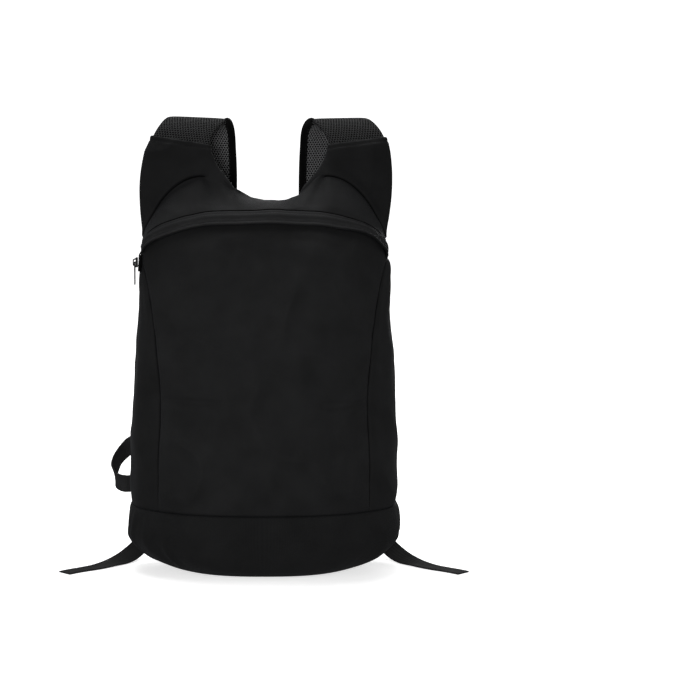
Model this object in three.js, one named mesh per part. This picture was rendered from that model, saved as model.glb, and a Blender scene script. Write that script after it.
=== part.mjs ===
// A soft sports backpack standing on its base, zip closed, with its shoulder straps looped up behind it
// Millimetres. +Z is up, -Y is the front, +X is right as seen from the front, the floor is at zero height
import * as THREE from "three";
import { mergeVertices } from "three/addons/utils/BufferGeometryUtils.js";

// Cloth and padding
const SHELL = 2;
const BACK_WALL = 1.6;
const BOOT_WALL = 2.4;
const PAD = 5.5;
const TAPE = 1.4;
const WEB_WIDTH = 19.5;
const GAP = 0.4;
const BINDING_REACH = 7;
const BINDING_WALL = 0.9;
const BINDING_GAP = 0.6;

// Body plan: superellipse sections, widest at one depth, fuller at the back than at the front
const WIDEST_Y = 4;
const FRONT_POWER = 2.6;
const BACK_POWER = 4;
const BACK_SEAM_X = 130;
const BODY = [
  { height: 0, half_width: 150.5, front: -63, back: 40 },
  { height: 40, half_width: 151, front: -68, back: 41 },
  { height: 75, half_width: 149.8, front: -70, back: 42 },
  { height: 120, half_width: 148.4, front: -70.5, back: 43 },
  { height: 200, half_width: 145.8, front: -65, back: 43.5 },
  { height: 280, half_width: 141.2, front: -53, back: 43.5 },
  { height: 350, half_width: 138.2, front: -35, back: 43 },
  { height: 410, half_width: 137.5, front: -8, back: 43 },
];
const FRONT_SEAM = [
  { height: 60, x: 118 },
  { height: 140, x: 117 },
  { height: 195, x: 114.5 },
  { height: 250, x: 119 },
  { height: 305, x: 126.5 },
  { height: 335, x: 133 },
  { height: 350, x: 137 },
];

// Boot: rim height at the front and sides, and the rounding under it
const RIM_FRONT = 71;
const RIM_SIDE = 75;
const ROUND_HEIGHT = 45;
const ROUND_POWER = 1.7;
const FLAT_SHARE = { x: 0.5, front: 0.72, back: 0.88 };
const BOOT_PUFF = 1.8;
const RIM_PUFF = 0.55;
const BOOT_ROWS = { wall: 2, round: 6, base: 3 };

// Zip arch and the band over it
const ZIP_END = 350;
const ZIP_RISE = 44;
const ZIP_SPAN = 137;
const BAND_END = 354;
const BAND_RISE = 53.5;
const BAND_SPAN = 138.2;
const ZIP_POWER = 2.2;
const BAND_POWER = 2.6;
const FLAP_LIFT = 3.2;
const CHAIN_WIDTH = 5;
const CHAIN_DEPTH = 1.6;
const BAND_DEPTH = [
  { x: 0, y: -4 },
  { x: 70, y: -2 },
  { x: 110, y: 3 },
  { x: 130, y: 9 },
  { x: 138.2, y: 14 },
];

// Slider parked at the left end of the zip, and the pull that hangs on it
const CHAIN_STAND = 2.6;
const SLIDER = { y: -7, z: 347, body: 2.5, bridge: 5.6, height: 11, width: 6 };
const PULL = {
  bar: 1.2, eye_width: 6.8, eye_end: 8.6, width: 10, tip_width: 7,
  length: 25, hole: 1.7, thickness: 1.2, reach: 3.4,
};

// Upper edge of the yoke: the neckline in the middle, the dart under each wing outside it
const YOKE_TOP = [
  { x: 0, y: 43.4, height: 411 },
  { x: 14, y: 43.4, height: 412 },
  { x: 22, y: 42.5, height: 414.5 },
  { x: 27, y: 36.5, height: 418 },
  { x: 31, y: 33, height: 421.5 },
  { x: 50, y: 33.4, height: 435 },
  { x: 66, y: 33.4, height: 441.5 },
  { x: 82, y: 33.4, height: 440 },
  { x: 96, y: 33.4, height: 433.5 },
  { x: 108, y: 33.4, height: 423.5 },
  { x: 118, y: 33.4, height: 411.5 },
  { x: 126, y: 33.4, height: 398 },
  { x: 132, y: 33.4, height: 383 },
  { x: 137, y: 33.4, height: 367 },
];

// Strap pad, root to tip: its inner and outer edge as seen on the right strap
const STRAP = [
  { in_x: 33, in_y: 41, in_z: 412, out_x: 134, out_y: 41, out_z: 362 },
  { in_x: 36, in_y: 41, in_z: 428, out_x: 138.5, out_y: 41, out_z: 402 },
  { in_x: 45, in_y: 42, in_z: 441, out_x: 139, out_y: 42, out_z: 432 },
  { in_x: 56.5, in_y: 44, in_z: 455, out_x: 135.5, out_y: 44, out_z: 457 },
  { in_x: 62, in_y: 47, in_z: 471, out_x: 129, out_y: 47, out_z: 475 },
  { in_x: 56, in_y: 54, in_z: 487, out_x: 120, out_y: 54, out_z: 492 },
  { in_x: 44, in_y: 69, in_z: 496.5, out_x: 110, out_y: 69, out_z: 502 },
  { in_x: 37, in_y: 84, in_z: 489.5, out_x: 102, out_y: 85, out_z: 494 },
  { in_x: 33.5, in_y: 91, in_z: 467, out_x: 98, out_y: 93, out_z: 470 },
  { in_x: 32.5, in_y: 94, in_z: 432, out_x: 96, out_y: 97, out_z: 434 },
  { in_x: 34, in_y: 93, in_z: 398, out_x: 96, out_y: 97, out_z: 398 },
  { in_x: 40, in_y: 88, in_z: 340, out_x: 99, out_y: 92, out_z: 338 },
  { in_x: 50, in_y: 81, in_z: 288, out_x: 103, out_y: 85, out_z: 284 },
  { in_x: 67, in_y: 76, in_z: 244, out_x: 105, out_y: 79, out_z: 239 },
];
// The right strap leans outwards: its inner edge from the neckline on, its outer edge over the crest
const RIGHT_LEAN = 7;
const HEM_INNER = 4;
const HEM_OUTER = 4.45;

// Adjusting webbing of the right strap: middle line and the direction of its width
const WEBBING = [
  { x: 85, y: 84.8, z: 262, wide_x: 1, wide_y: 0.06, wide_z: -0.1 },
  { x: 87, y: 82, z: 237, wide_x: 1, wide_y: 0.06, wide_z: -0.1 },
  { x: 96, y: 70, z: 170, wide_x: 1, wide_y: 0.03, wide_z: -0.1 },
  { x: 107, y: 56.5, z: 110, wide_x: 1, wide_y: 0, wide_z: -0.1 },
  { x: 114, y: 49.6, z: 82, wide_x: 1, wide_y: 0, wide_z: 0 },
  { x: 115, y: 48.9, z: 73, wide_x: 1, wide_y: 0, wide_z: 0 },
  { x: 115, y: 49, z: 70, wide_x: 1, wide_y: 0, wide_z: 0 },
  { x: 115, y: 50.2, z: 68.2, wide_x: 1, wide_y: 0, wide_z: 0 },
  { x: 115, y: 52, z: 67.7, wide_x: 1, wide_y: 0, wide_z: 0 },
  { x: 115, y: 54.2, z: 67.3, wide_x: 1, wide_y: 0, wide_z: 0 },
  { x: 115, y: 55.7, z: 66, wide_x: 1, wide_y: 0, wide_z: 0.05 },
  { x: 115.6, y: 56.4, z: 62.5, wide_x: 1, wide_y: 0, wide_z: 0.2 },
  { x: 120, y: 57.2, z: 51, wide_x: 0.85, wide_y: 0, wide_z: 0.5 },
  { x: 130, y: 57, z: 32, wide_x: 0.74, wide_y: 0, wide_z: 0.68 },
  { x: 143, y: 48, z: 15.5, wide_x: 0.6, wide_y: 0.2, wide_z: 0.78 },
  { x: 158, y: 27, z: 6.4, wide_x: 0.45, wide_y: 0.6, wide_z: 0.5 },
  { x: 175, y: 9, z: 2.9, wide_x: 0.55, wide_y: 0.8, wide_z: 0.16 },
  { x: 190, y: -5, z: 1.5, wide_x: 0.6, wide_y: 0.75, wide_z: 0.03 },
  { x: 203, y: -14, z: 1, wide_x: 0.6, wide_y: 0.75, wide_z: 0 },
  { x: 214, y: -23, z: 0.95, wide_x: 0.66, wide_y: 0.7, wide_z: 0 },
  { x: 223, y: -32, z: 0.95, wide_x: 0.72, wide_y: 0.68, wide_z: 0 },
];

// Ladder-lock buckle behind each lower corner
const BUCKLE = {
  x: 115, y: 52, z: 62, width: 26, height: 22, depth: 4, corner: 3,
  slot_width: 20.8, slot_height: 6, slot_rise: 4.5,
};

// Corner tab: from the boot round the buckle's lowest bar and back
const CORNER_TAB = [
  { y: 41.2, z: 45 },
  { y: 45.5, z: 47.4 },
  { y: 49, z: 49.1 },
  { y: 52.4, z: 49.3 },
  { y: 55, z: 50.8 },
  { y: 55.2, z: 54.2 },
  { y: 53.2, z: 56 },
  { y: 50.6, z: 56 },
  { y: 48.6, z: 53.6 },
  { y: 46, z: 50.4 },
  { y: 41.2, z: 47.8 },
];
const TAB_WIDTH = 18.5;
const TAB_WALL = 1.2;

// Gear loop on the left side: middle line and the direction of its width
const SIDE_LOOP = [
  { x: -137.9, y: 32.2, z: 136, wide_x: 0.085, wide_y: -0.05, wide_z: 1 },
  { x: -148.5, y: 42, z: 135.6, wide_x: -0.2, wide_y: -0.1, wide_z: 1 },
  { x: -158.5, y: 44, z: 128, wide_x: -0.5, wide_y: -0.4, wide_z: 0.72 },
  { x: -168, y: 37, z: 117, wide_x: -0.45, wide_y: -0.7, wide_z: 0.57 },
  { x: -170.5, y: 26, z: 105, wide_x: -0.25, wide_y: -0.45, wide_z: 0.86 },
  { x: -166, y: 16, z: 97, wide_x: 0.05, wide_y: -0.25, wide_z: 0.95 },
  { x: -158, y: 13.8, z: 94, wide_x: 0.08, wide_y: 0, wide_z: 1 },
  { x: -149.8, y: 16, z: 93.8, wide_x: -0.03, wide_y: 0, wide_z: 1 },
];

// Soft folds in the front panel: where each starts, how far it runs, how wide and how deep
const FRONT_FOLDS = [
  { x: -108, z: 199, run: 62, rise: -3, width: 7, depth: 1.3 },
  { x: 66, z: 193, run: 46, rise: 2, width: 7, depth: 1.2 },
  { x: 34, z: 374, run: 48, rise: -14, width: 8, depth: 1.5 },
  { x: -82, z: 372, run: 34, rise: 8, width: 8, depth: 1.2 },
  { x: 96, z: 330, run: 18, rise: -60, width: 11, depth: 2.2 },
  { x: -104, z: 330, run: -8, rise: -70, width: 11, depth: 1.6 },
];
const PANEL_PUFF = 3;
const SEAM_PINCH = 1.2;

const mirrored = (row) => ({ ...row, x: -row.x, wide_x: -row.wide_x });
const flat = (x, y) => new THREE.Vector2(x, y);
const lerp = THREE.MathUtils.lerp;
const smooth = THREE.MathUtils.smoothstep;

// One column of a table as a smooth function of another column
function column(rows, at, name) {
  return (value) => {
    const t = Math.min(Math.max(value, rows[0][at]), rows[rows.length - 1][at]);
    let i = 0;
    while (i < rows.length - 2 && t > rows[i + 1][at]) i += 1;
    const slope = (k) => {
      const a = rows[Math.max(k - 1, 0)];
      const b = rows[Math.min(k + 1, rows.length - 1)];
      return (b[name] - a[name]) / (b[at] - a[at]);
    };
    const span = rows[i + 1][at] - rows[i][at];
    const s = (t - rows[i][at]) / span;
    const start = (1 + 2 * s) * (1 - s) ** 2 * rows[i][name] + s * (1 - s) ** 2 * span * slope(i);
    return start + s * s * (3 - 2 * s) * rows[i + 1][name] + s * s * (s - 1) * span * slope(i + 1);
  };
}

const halfWidth = column(BODY, "height", "half_width");
const frontMiddle = column(BODY, "height", "front");
const backMiddle = column(BODY, "height", "back");
const frontSeam = column(FRONT_SEAM, "height", "x");
const bandDepth = column(BAND_DEPTH, "x", "y");
const yokeTopY = column(YOKE_TOP, "x", "y");
const yokeTopZ = column(YOKE_TOP, "x", "height");

// Share of the section's depth left at a share of its half width
const fullness = (share, power) => Math.max(1 - Math.min(Math.abs(share), 1) ** power, 0) ** (1 / power);

function frontY(x, z) {
  return WIDEST_Y - (WIDEST_Y - frontMiddle(z)) * fullness(x / halfWidth(z), FRONT_POWER);
}

function backY(x, z) {
  return WIDEST_Y + (backMiddle(z) - WIDEST_Y) * fullness(x / halfWidth(z), BACK_POWER);
}

function sideX(y, z) {
  const deep = y < WIDEST_Y ? WIDEST_Y - frontMiddle(z) : backMiddle(z) - WIDEST_Y;
  return halfWidth(z) * fullness((y - WIDEST_Y) / deep, y < WIDEST_Y ? FRONT_POWER : BACK_POWER);
}

const zipHeight = (x) => ZIP_END + ZIP_RISE * Math.max(1 - (x / ZIP_SPAN) ** 2, 0) ** (1 / ZIP_POWER);
const bandHeight = (x) => BAND_END + BAND_RISE * Math.max(1 - (x / BAND_SPAN) ** 2, 0) ** (1 / BAND_POWER);

function rimHeight(x, y) {
  return y < WIDEST_Y ? lerp(RIM_FRONT, RIM_SIDE, Math.min((x / halfWidth(RIM_SIDE)) ** 2, 1)) : RIM_SIDE;
}

// Outward direction of a section, level with the floor, where depth(x) is its face
function sectionNormal(depth, x) {
  const slope = (depth(x + 0.5) - depth(x - 0.5)) * Math.sign(depth(0) - WIDEST_Y);
  return new THREE.Vector2(-slope, Math.sign(depth(0) - WIDEST_Y)).normalize();
}

// How far a panel swells between its seams, drawn in along them
function swell(u, v) {
  const inside = (1 - (2 * u - 1) ** 6) * (1 - (2 * v - 1) ** 6);
  return PANEL_PUFF * inside - SEAM_PINCH;
}

function foldDepth(x, z) {
  let depth = 0;
  for (const fold of FRONT_FOLDS) {
    const length = fold.run ** 2 + fold.rise ** 2;
    const s = THREE.MathUtils.clamp(((x - fold.x) * fold.run + (z - fold.z) * fold.rise) / length, 0, 1);
    const away = Math.hypot(x - fold.x - s * fold.run, z - fold.z - s * fold.rise);
    depth += fold.depth * Math.exp(-((away / fold.width) ** 2));
  }
  return depth;
}

// Two triangles for a four-sided patch, split along its shorter diagonal
function split(points, a, b, c, d) {
  const short = points[a].distanceTo(points[c]) <= points[b].distanceTo(points[d]);
  return short ? [[a, b, c], [a, c, d]] : [[a, b, d], [b, c, d]];
}

// A closed mesh from points and triangles, with doubled points and collapsed triangles taken out
function closedMesh(points, triangles) {
  const loose = new THREE.BufferGeometry();
  loose.setAttribute("position", new THREE.Float32BufferAttribute(points.flatMap((p) => [p.x, p.y, p.z]), 3));
  loose.setIndex(triangles.flat());
  const geometry = mergeVertices(loose, 1e-3);
  const index = geometry.getIndex().array;
  const kept = [];
  for (let i = 0; i < index.length; i += 3) {
    const [a, b, c] = [index[i], index[i + 1], index[i + 2]];
    if (a !== b && b !== c && c !== a) kept.push(a, b, c);
  }
  const at = (i) => new THREE.Vector3().fromBufferAttribute(geometry.getAttribute("position"), i);
  let volume = 0;
  for (let i = 0; i < kept.length; i += 3) {
    volume += at(kept[i]).dot(at(kept[i + 1]).cross(at(kept[i + 2])));
  }
  geometry.setIndex(volume > 0 ? kept : kept.reverse());
  geometry.computeVertexNormals();
  return geometry;
}

// A cloth wall: its outer face is surface(u, v), its inner face lies one wall behind it, away from the normal
function clothWall(surface, cells, wall, ring = false) {
  const [nu, nv] = cells;
  const step = 1e-3;
  const points = [];
  const normalAt = (u, v) => {
    const wrap = (t) => (ring ? t : THREE.MathUtils.clamp(t, 0, 1));
    const along = surface(wrap(u + step), v).sub(surface(wrap(u - step), v));
    const up = surface(u, Math.min(v + step, 1)).sub(surface(u, Math.max(v - step, 0)));
    return along.cross(up).normalize();
  };
  for (const depth of [0, wall]) {
    for (let j = 0; j <= nv; j += 1) {
      for (let i = 0; i <= nu; i += 1) {
        const [u, v] = [i / nu, j / nv];
        const at = surface(u, v);
        const collapsed = surface(0, v).distanceTo(surface(0.5, v)) < 1e-6;
        const normal = collapsed ? new THREE.Vector3(0, 0, -1) : normalAt(u, v);
        points.push(depth ? at.addScaledVector(normal, -depth) : at);
      }
    }
  }
  const face = (nu + 1) * (nv + 1);
  const at = (i, j, inner) => inner * face + j * (nu + 1) + i;
  const triangles = [];
  const quad = (...corners) => triangles.push(...split(points, ...corners));
  for (let j = 0; j < nv; j += 1) {
    for (let i = 0; i < nu; i += 1) {
      quad(at(i, j, 0), at(i + 1, j, 0), at(i + 1, j + 1, 0), at(i, j + 1, 0));
      quad(at(i, j, 1), at(i, j + 1, 1), at(i + 1, j + 1, 1), at(i + 1, j, 1));
    }
    if (!ring) quad(at(0, j, 1), at(0, j, 0), at(0, j + 1, 0), at(0, j + 1, 1));
    if (!ring) quad(at(nu, j, 0), at(nu, j, 1), at(nu, j + 1, 1), at(nu, j + 1, 0));
  }
  for (let i = 0; i < nu; i += 1) {
    quad(at(i, 0, 0), at(i, 0, 1), at(i + 1, 0, 1), at(i + 1, 0, 0));
    quad(at(i, nv, 1), at(i, nv, 0), at(i + 1, nv, 0), at(i + 1, nv, 1));
  }
  return closedMesh(points, triangles);
}

// A solid through a row of like-sided rings, its ends closed by the outline of the section
function loft(rings, outline) {
  const sides = outline.length;
  const points = rings.flat();
  const triangles = [];
  for (let k = 0; k < rings.length - 1; k += 1) {
    for (let i = 0; i < sides; i += 1) {
      const [a, b] = [k * sides + i, k * sides + ((i + 1) % sides)];
      triangles.push(...split(points, a, b, b + sides, a + sides));
    }
  }
  const last = (rings.length - 1) * sides;
  for (const cap of THREE.ShapeUtils.triangulateShape(outline, [])) {
    const [a, b, c] = THREE.ShapeUtils.isClockWise(outline) ? [...cap].reverse() : cap;
    triangles.push([c, b, a], [a + last, b + last, c + last]);
  }
  return closedMesh(points, triangles);
}

// Rings of a section carried along a middle line of stops: place, width direction and onward direction
function sweep(stops, outline) {
  const rings = stops.map(({ place, wide, onward }) => {
    const across = wide.clone().addScaledVector(onward, -wide.dot(onward)).normalize();
    const face = onward.clone().cross(across).normalize();
    return outline.map((p) => place.clone().addScaledVector(across, p.x).addScaledVector(face, p.y));
  });
  return loft(rings, outline);
}

// Webbing through a table of middle points and width directions
function webbing(rows, width, wall, count) {
  const line = new THREE.CatmullRomCurve3(rows.map((r) => new THREE.Vector3(r.x, r.y, r.z)));
  const wide = new THREE.CatmullRomCurve3(rows.map((r) => new THREE.Vector3(r.wide_x, r.wide_y, r.wide_z)));
  const [w, h] = [width / 2, wall / 2];
  const stops = [];
  for (let k = 0; k <= count; k += 1) {
    const t = k / count;
    stops.push({ place: line.getPoint(t), wide: wide.getPoint(t).normalize(), onward: line.getTangent(t) });
  }
  return sweep(stops, [flat(-w, -h), flat(w, -h), flat(w, h), flat(-w, h)]);
}

// Strap frame at a row number of the strap table, on one side
function strapFrame(row, side) {
  const lean = side > 0 ? RIGHT_LEAN : 0;
  const curve = (end, from, to) => new THREE.CatmullRomCurve3(STRAP.map((r, k) => new THREE.Vector3(
    side * r[`${end}_x`] + lean * smooth(k, from, to), r[`${end}_y`], r[`${end}_z`],
  )));
  const [inner, outer] = [curve("in", 0, 2), curve("out", 4, 7)];
  const rows = STRAP.length - 1;
  const at = (t) => {
    const share = THREE.MathUtils.clamp(t / rows, 0, 1);
    return [inner.getPoint(share), outer.getPoint(share)];
  };
  const [a, b] = at(row);
  const middle = (t) => at(t)[0].add(at(t)[1]).multiplyScalar(0.5);
  const onward = middle(Math.min(row + 0.02, rows)).sub(middle(Math.max(row - 0.02, 0))).normalize();
  const across = b.clone().sub(a);
  const width = across.length();
  across.divideScalar(width);
  const front = onward.clone().cross(across).multiplyScalar(-side).normalize();
  return { place: a.clone().add(b).multiplyScalar(0.5), across, front, width };
}

function strapSolid(side, from, to, count, outlineAt) {
  const rings = [];
  for (let k = 0; k <= count; k += 1) {
    const frame = strapFrame(lerp(from, to, k / count), side);
    rings.push(outlineAt(frame.width).map((p) => (
      frame.place.clone().addScaledVector(frame.across, p.x).addScaledVector(frame.front, p.y)
    )));
  }
  return loft(rings, outlineAt(60));
}

function padOutline(width) {
  const [w, h, e] = [width / 2, PAD / 2, 2.4];
  return [
    flat(-w, -h * 0.4), flat(-w + e, -h), flat(w - e, -h), flat(w, -h * 0.4),
    flat(w, h * 0.4), flat(w - e, h), flat(-w + e, h), flat(-w, h * 0.4),
  ];
}

// The tape folded round one edge of a strap
function bindingOutline(edge) {
  return (width) => {
    const out = width / 2 + BINDING_GAP + BINDING_WALL;
    const back = width / 2 - BINDING_REACH;
    const hug = width / 2 + BINDING_GAP;
    const [h, t] = [PAD / 2 + BINDING_GAP, PAD / 2 + BINDING_GAP + BINDING_WALL];
    const path = [
      flat(back, t), flat(out, t), flat(out, -t), flat(back, -t),
      flat(back, -h), flat(hug, -h), flat(hug, h), flat(back, h),
    ];
    return path.map((p) => flat(edge * p.x, p.y));
  };
}

// Outer faces of the cloth walls
function frontPanel(u, v) {
  const s = lerp(2 * u - 1, Math.sin((2 * u - 1) * (Math.PI / 2)), 0.9);
  const edge = lerp(RIM_FRONT + 2.5 + GAP, ZIP_END, v);
  const edgeX = frontSeam(edge);
  const edgeLow = rimHeight(edgeX, 0) + GAP;
  const edgeShare = THREE.MathUtils.clamp((edge - edgeLow) / (zipHeight(edgeX) - edgeLow), 0, 1);
  const x = s * (edgeX - GAP / 2);
  const z = lerp(rimHeight(x, 0) + GAP, zipHeight(x), lerp(v, edgeShare, Math.abs(s) ** 3));
  const open = smooth(zipHeight(x) - z, 0, 14);
  const out = (swell(u, Math.min(v, 0.5)) - foldDepth(x, z)) * open;
  const normal = sectionNormal((t) => frontY(t, z), x);
  return new THREE.Vector3(x + normal.x * out, frontY(x, z) + normal.y * out, z);
}

function sidePanel(side) {
  return (u, v) => {
    const along = (y, z) => new THREE.Vector2(sideX(y, z), y);
    const top = lerp(ZIP_END - 2.6, ZIP_END + 11, u);
    const arc = (z) => {
      const turn = [];
      const from = frontY(frontSeam(Math.min(z, ZIP_END)) + GAP / 2, z);
      const to = backY(BACK_SEAM_X, z);
      for (let k = 0; k <= 40; k += 1) turn.push(along(lerp(from, to, k / 40), z));
      return turn;
    };
    const pick = (turn) => {
      const lengths = [0];
      for (let k = 1; k < turn.length; k += 1) lengths.push(lengths[k - 1] + turn[k].distanceTo(turn[k - 1]));
      const want = u * lengths[turn.length - 1];
      let k = 1;
      while (k < turn.length - 1 && lengths[k] < want) k += 1;
      const s = (want - lengths[k - 1]) / (lengths[k] - lengths[k - 1]);
      const normal = turn[k].clone().sub(turn[k - 1]).normalize();
      return { at: turn[k - 1].clone().lerp(turn[k], s), normal: flat(normal.y, -normal.x) };
    };
    const foot = pick(arc(RIM_SIDE)).at;
    const z = lerp(rimHeight(foot.x, foot.y) + GAP, top, v);
    const { at, normal } = pick(arc(z));
    at.addScaledVector(normal, swell(u, Math.min(v, 0.9)));
    return new THREE.Vector3(side * at.x, at.y, z);
  };
}

function backPanel(u, v) {
  const s = 1 - 2 * u;
  const x = s * (BACK_SEAM_X - GAP);
  const root = STRAP[0];
  const slope = (root.out_z - root.in_z) / (root.out_x - root.in_x);
  const shoulder = root.in_z + (Math.abs(x) - root.in_x) * slope - GAP * 2;
  const neck = YOKE_TOP[0].height - SHELL - GAP * 1.5;
  const top = lerp(neck, shoulder, smooth(Math.abs(x), 25, 32));
  const z = lerp(RIM_SIDE + GAP, top, v);
  const normal = sectionNormal((t) => backY(t, z), x);
  const out = swell(u, Math.min(v, 0.5)) * lerp(1, 0.5, 1 - Math.abs(s) ** 6);
  return new THREE.Vector3(x + normal.x * out, backY(x, z) + normal.y * out, z);
}

function zipBase(s, v) {
  const turn = Math.sin((s * Math.PI) / 2);
  const [low, high] = [turn * ZIP_SPAN, turn * BAND_SPAN];
  const zip = new THREE.Vector3(low, frontY(low, zipHeight(low)), zipHeight(low));
  const band = new THREE.Vector3(high, bandDepth(Math.abs(high)), bandHeight(high));
  return zip.lerp(band, v);
}

function zipFlap(u, v) {
  const s = lerp(-0.9, 0.985, u);
  const share = lerp(-0.14, 0.97, v);
  const at = zipBase(s, share);
  const out = FLAP_LIFT * (1 - smooth(share, 0.42, 1)) + 1.6 * Math.sin(Math.PI * smooth(share, 0.2, 1));
  const lean = new THREE.Vector3(Math.sign(s) * Math.abs(s) ** 5, -1 + 0.7 * Math.abs(s) ** 5, 0.55);
  return at.addScaledVector(lean.normalize(), out);
}

function yoke(u, v) {
  const s = 2 * u - 1;
  const turn = Math.sin((s * Math.PI) / 2);
  const [low, high] = [turn * BAND_SPAN, turn * 137];
  const foot = new THREE.Vector3(low, bandDepth(Math.abs(low)) + 0.6, bandHeight(low) + 0.3);
  const head = new THREE.Vector3(high, yokeTopY(Math.abs(high)), yokeTopZ(Math.abs(high)));
  const full = Math.sin(Math.PI * v) * lerp(4.5, 7, smooth(Math.abs(s), 0.1, 0.6)) * (1 - Math.abs(s) ** 4);
  return foot.lerp(head, v).add(new THREE.Vector3(0, -0.62 * full, 0.78 * full));
}

function strapCover(side) {
  return (u, v) => {
    const s = side > 0 ? u : 1 - u;
    const frame = strapFrame(v * lerp(HEM_INNER, HEM_OUTER, s), side);
    const reach = (s - 0.5) * (frame.width + 2 * GAP);
    const lift = PAD / 2 + GAP + SHELL + 1.2 * (1 - (2 * s - 1) ** 4) * smooth(v, 0.35, 0.8);
    return frame.place.addScaledVector(frame.across, reach).addScaledVector(frame.front, lift);
  };
}

// Boot: walls, rounding and flat base, from the rim to the middle of the base
function boot(u, v) {
  const rows = BOOT_ROWS.wall + BOOT_ROWS.round + BOOT_ROWS.base;
  const [row, clamp] = [v * rows, (t) => THREE.MathUtils.clamp(t, 0, 1)];
  const turn = (u + 0.5 / 40) * Math.PI * 2;
  const [c, s] = [Math.cos(turn), Math.sin(turn)];
  const power = s < 0 ? FRONT_POWER : BACK_POWER;
  const wide = Math.sign(c) * Math.abs(c) ** (2 / power);
  const deep = Math.sign(s) * Math.abs(s) ** (2 / power);
  const flatY = s < 0 ? FLAT_SHARE.front : FLAT_SHARE.back;
  const wall = smooth(row, 0, BOOT_ROWS.wall);
  const bend = clamp((row - BOOT_ROWS.wall) / BOOT_ROWS.round) * (Math.PI / 2);
  const rest = 1 - clamp((row - BOOT_ROWS.wall - BOOT_ROWS.round) / BOOT_ROWS.base);
  const inward = 1 - Math.max(Math.cos(bend), 0) ** (2 / ROUND_POWER);
  const at = (z) => new THREE.Vector2(
    halfWidth(z) * wide,
    WIDEST_Y + (s < 0 ? WIDEST_Y - frontMiddle(z) : backMiddle(z) - WIDEST_Y) * deep,
  );
  const top = at(RIM_SIDE);
  const round = ROUND_HEIGHT * (1 - Math.sin(bend) ** (2 / ROUND_POWER));
  const z = row < BOOT_ROWS.wall ? lerp(rimHeight(top.x, top.y), ROUND_HEIGHT, row / BOOT_ROWS.wall) : round;
  const place = at(Math.max(z, 30));
  const swollen = lerp(RIM_PUFF, 1, Math.sin(Math.PI * Math.min(wall * 0.5 + inward * 0.5, 1)));
  const puff = 1 + (BOOT_PUFF / 100) * swollen;
  const x = place.x * lerp(1, FLAT_SHARE.x, inward) * puff * rest;
  const y = WIDEST_Y + (place.y - WIDEST_Y) * lerp(1, flatY, inward) * puff * rest;
  return new THREE.Vector3(x, y - 6 * (1 - rest), Math.max(z, 0));
}

// Zip chain: along the arch under the flap, then down the left side under the slider
function zipChain() {
  const rows = [];
  for (let k = 0; k <= 26; k += 1) {
    const s = lerp(0.965, -0.88, k / 26);
    const at = zipBase(s, 0.22).add(new THREE.Vector3(-1.1 * Math.sign(s) * Math.abs(s) ** 5, 0.9, -0.5));
    const up = zipBase(s, 0.5).sub(zipBase(s, 0.2)).normalize();
    rows.push({ x: at.x, y: at.y, z: at.z, wide_x: up.x, wide_y: up.y, wide_z: up.z });
  }
  for (const z of [ZIP_END + 5, ZIP_END - 1, ZIP_END - 7, ZIP_END - 13]) {
    const x = -(sideX(SLIDER.y, z) + CHAIN_STAND);
    rows.push({ x, y: SLIDER.y, z, wide_x: 0, wide_y: 1, wide_z: 0 });
  }
  return webbing(rows, CHAIN_WIDTH, CHAIN_DEPTH, 46);
}

// Slider: a body over the chain with a bridge, cut as one profile
function zipSlider() {
  const { body, bridge, height } = SLIDER;
  const half = height / 2;
  const profile = new THREE.Shape([
    flat(0, -half), flat(body, -half), flat(body, -half + 0.9), flat(bridge, -half + 2.1),
    flat(bridge, half - 2.1), flat(body, half - 0.9), flat(body, half), flat(0, half),
  ]);
  profile.holes.push(new THREE.Path([
    flat(body - 0.2, -half + 2.4), flat(body - 0.2, half - 2.4),
    flat(bridge - 1.1, half - 2.9), flat(bridge - 1.1, -half + 2.9),
  ]));
  const solid = new THREE.ExtrudeGeometry(profile, { depth: SLIDER.width, bevelEnabled: false });
  solid.translate(0, 0, -SLIDER.width / 2);
  solid.rotateX(Math.PI / 2);
  solid.rotateZ(Math.PI);
  return solid;
}

// Pull: a flat tab whose eye goes round the bridge, hanging from its own bar
function zipPull() {
  const { bar, eye_width, eye_end, width, tip_width, length, hole, thickness } = PULL;
  const shape = new THREE.Shape([
    flat(-width / 2, bar / 2), flat(-width / 2, -eye_end), flat(-tip_width / 2, -eye_end - 3),
    flat(-tip_width / 2, -length + 1.5), flat(-tip_width / 2 + 1.5, -length),
    flat(tip_width / 2 - 1.5, -length), flat(tip_width / 2, -length + 1.5),
    flat(tip_width / 2, -eye_end - 3), flat(width / 2, -eye_end), flat(width / 2, bar / 2),
  ]);
  shape.holes.push(new THREE.Path([
    flat(-eye_width / 2, -bar / 2), flat(eye_width / 2, -bar / 2),
    flat(eye_width / 2, -eye_end + 1.6), flat(-eye_width / 2, -eye_end + 1.6),
  ]));
  const ring = new THREE.Path();
  ring.absarc(0, -length + hole + 1.4, hole, 0, Math.PI * 2);
  shape.holes.push(ring);
  const solid = new THREE.ExtrudeGeometry(shape, { depth: thickness, bevelEnabled: false, curveSegments: 8 });
  solid.translate(0, 0, -thickness / 2);
  solid.rotateX(Math.PI / 2);
  solid.rotateZ(Math.PI / 2);
  return solid;
}

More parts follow.
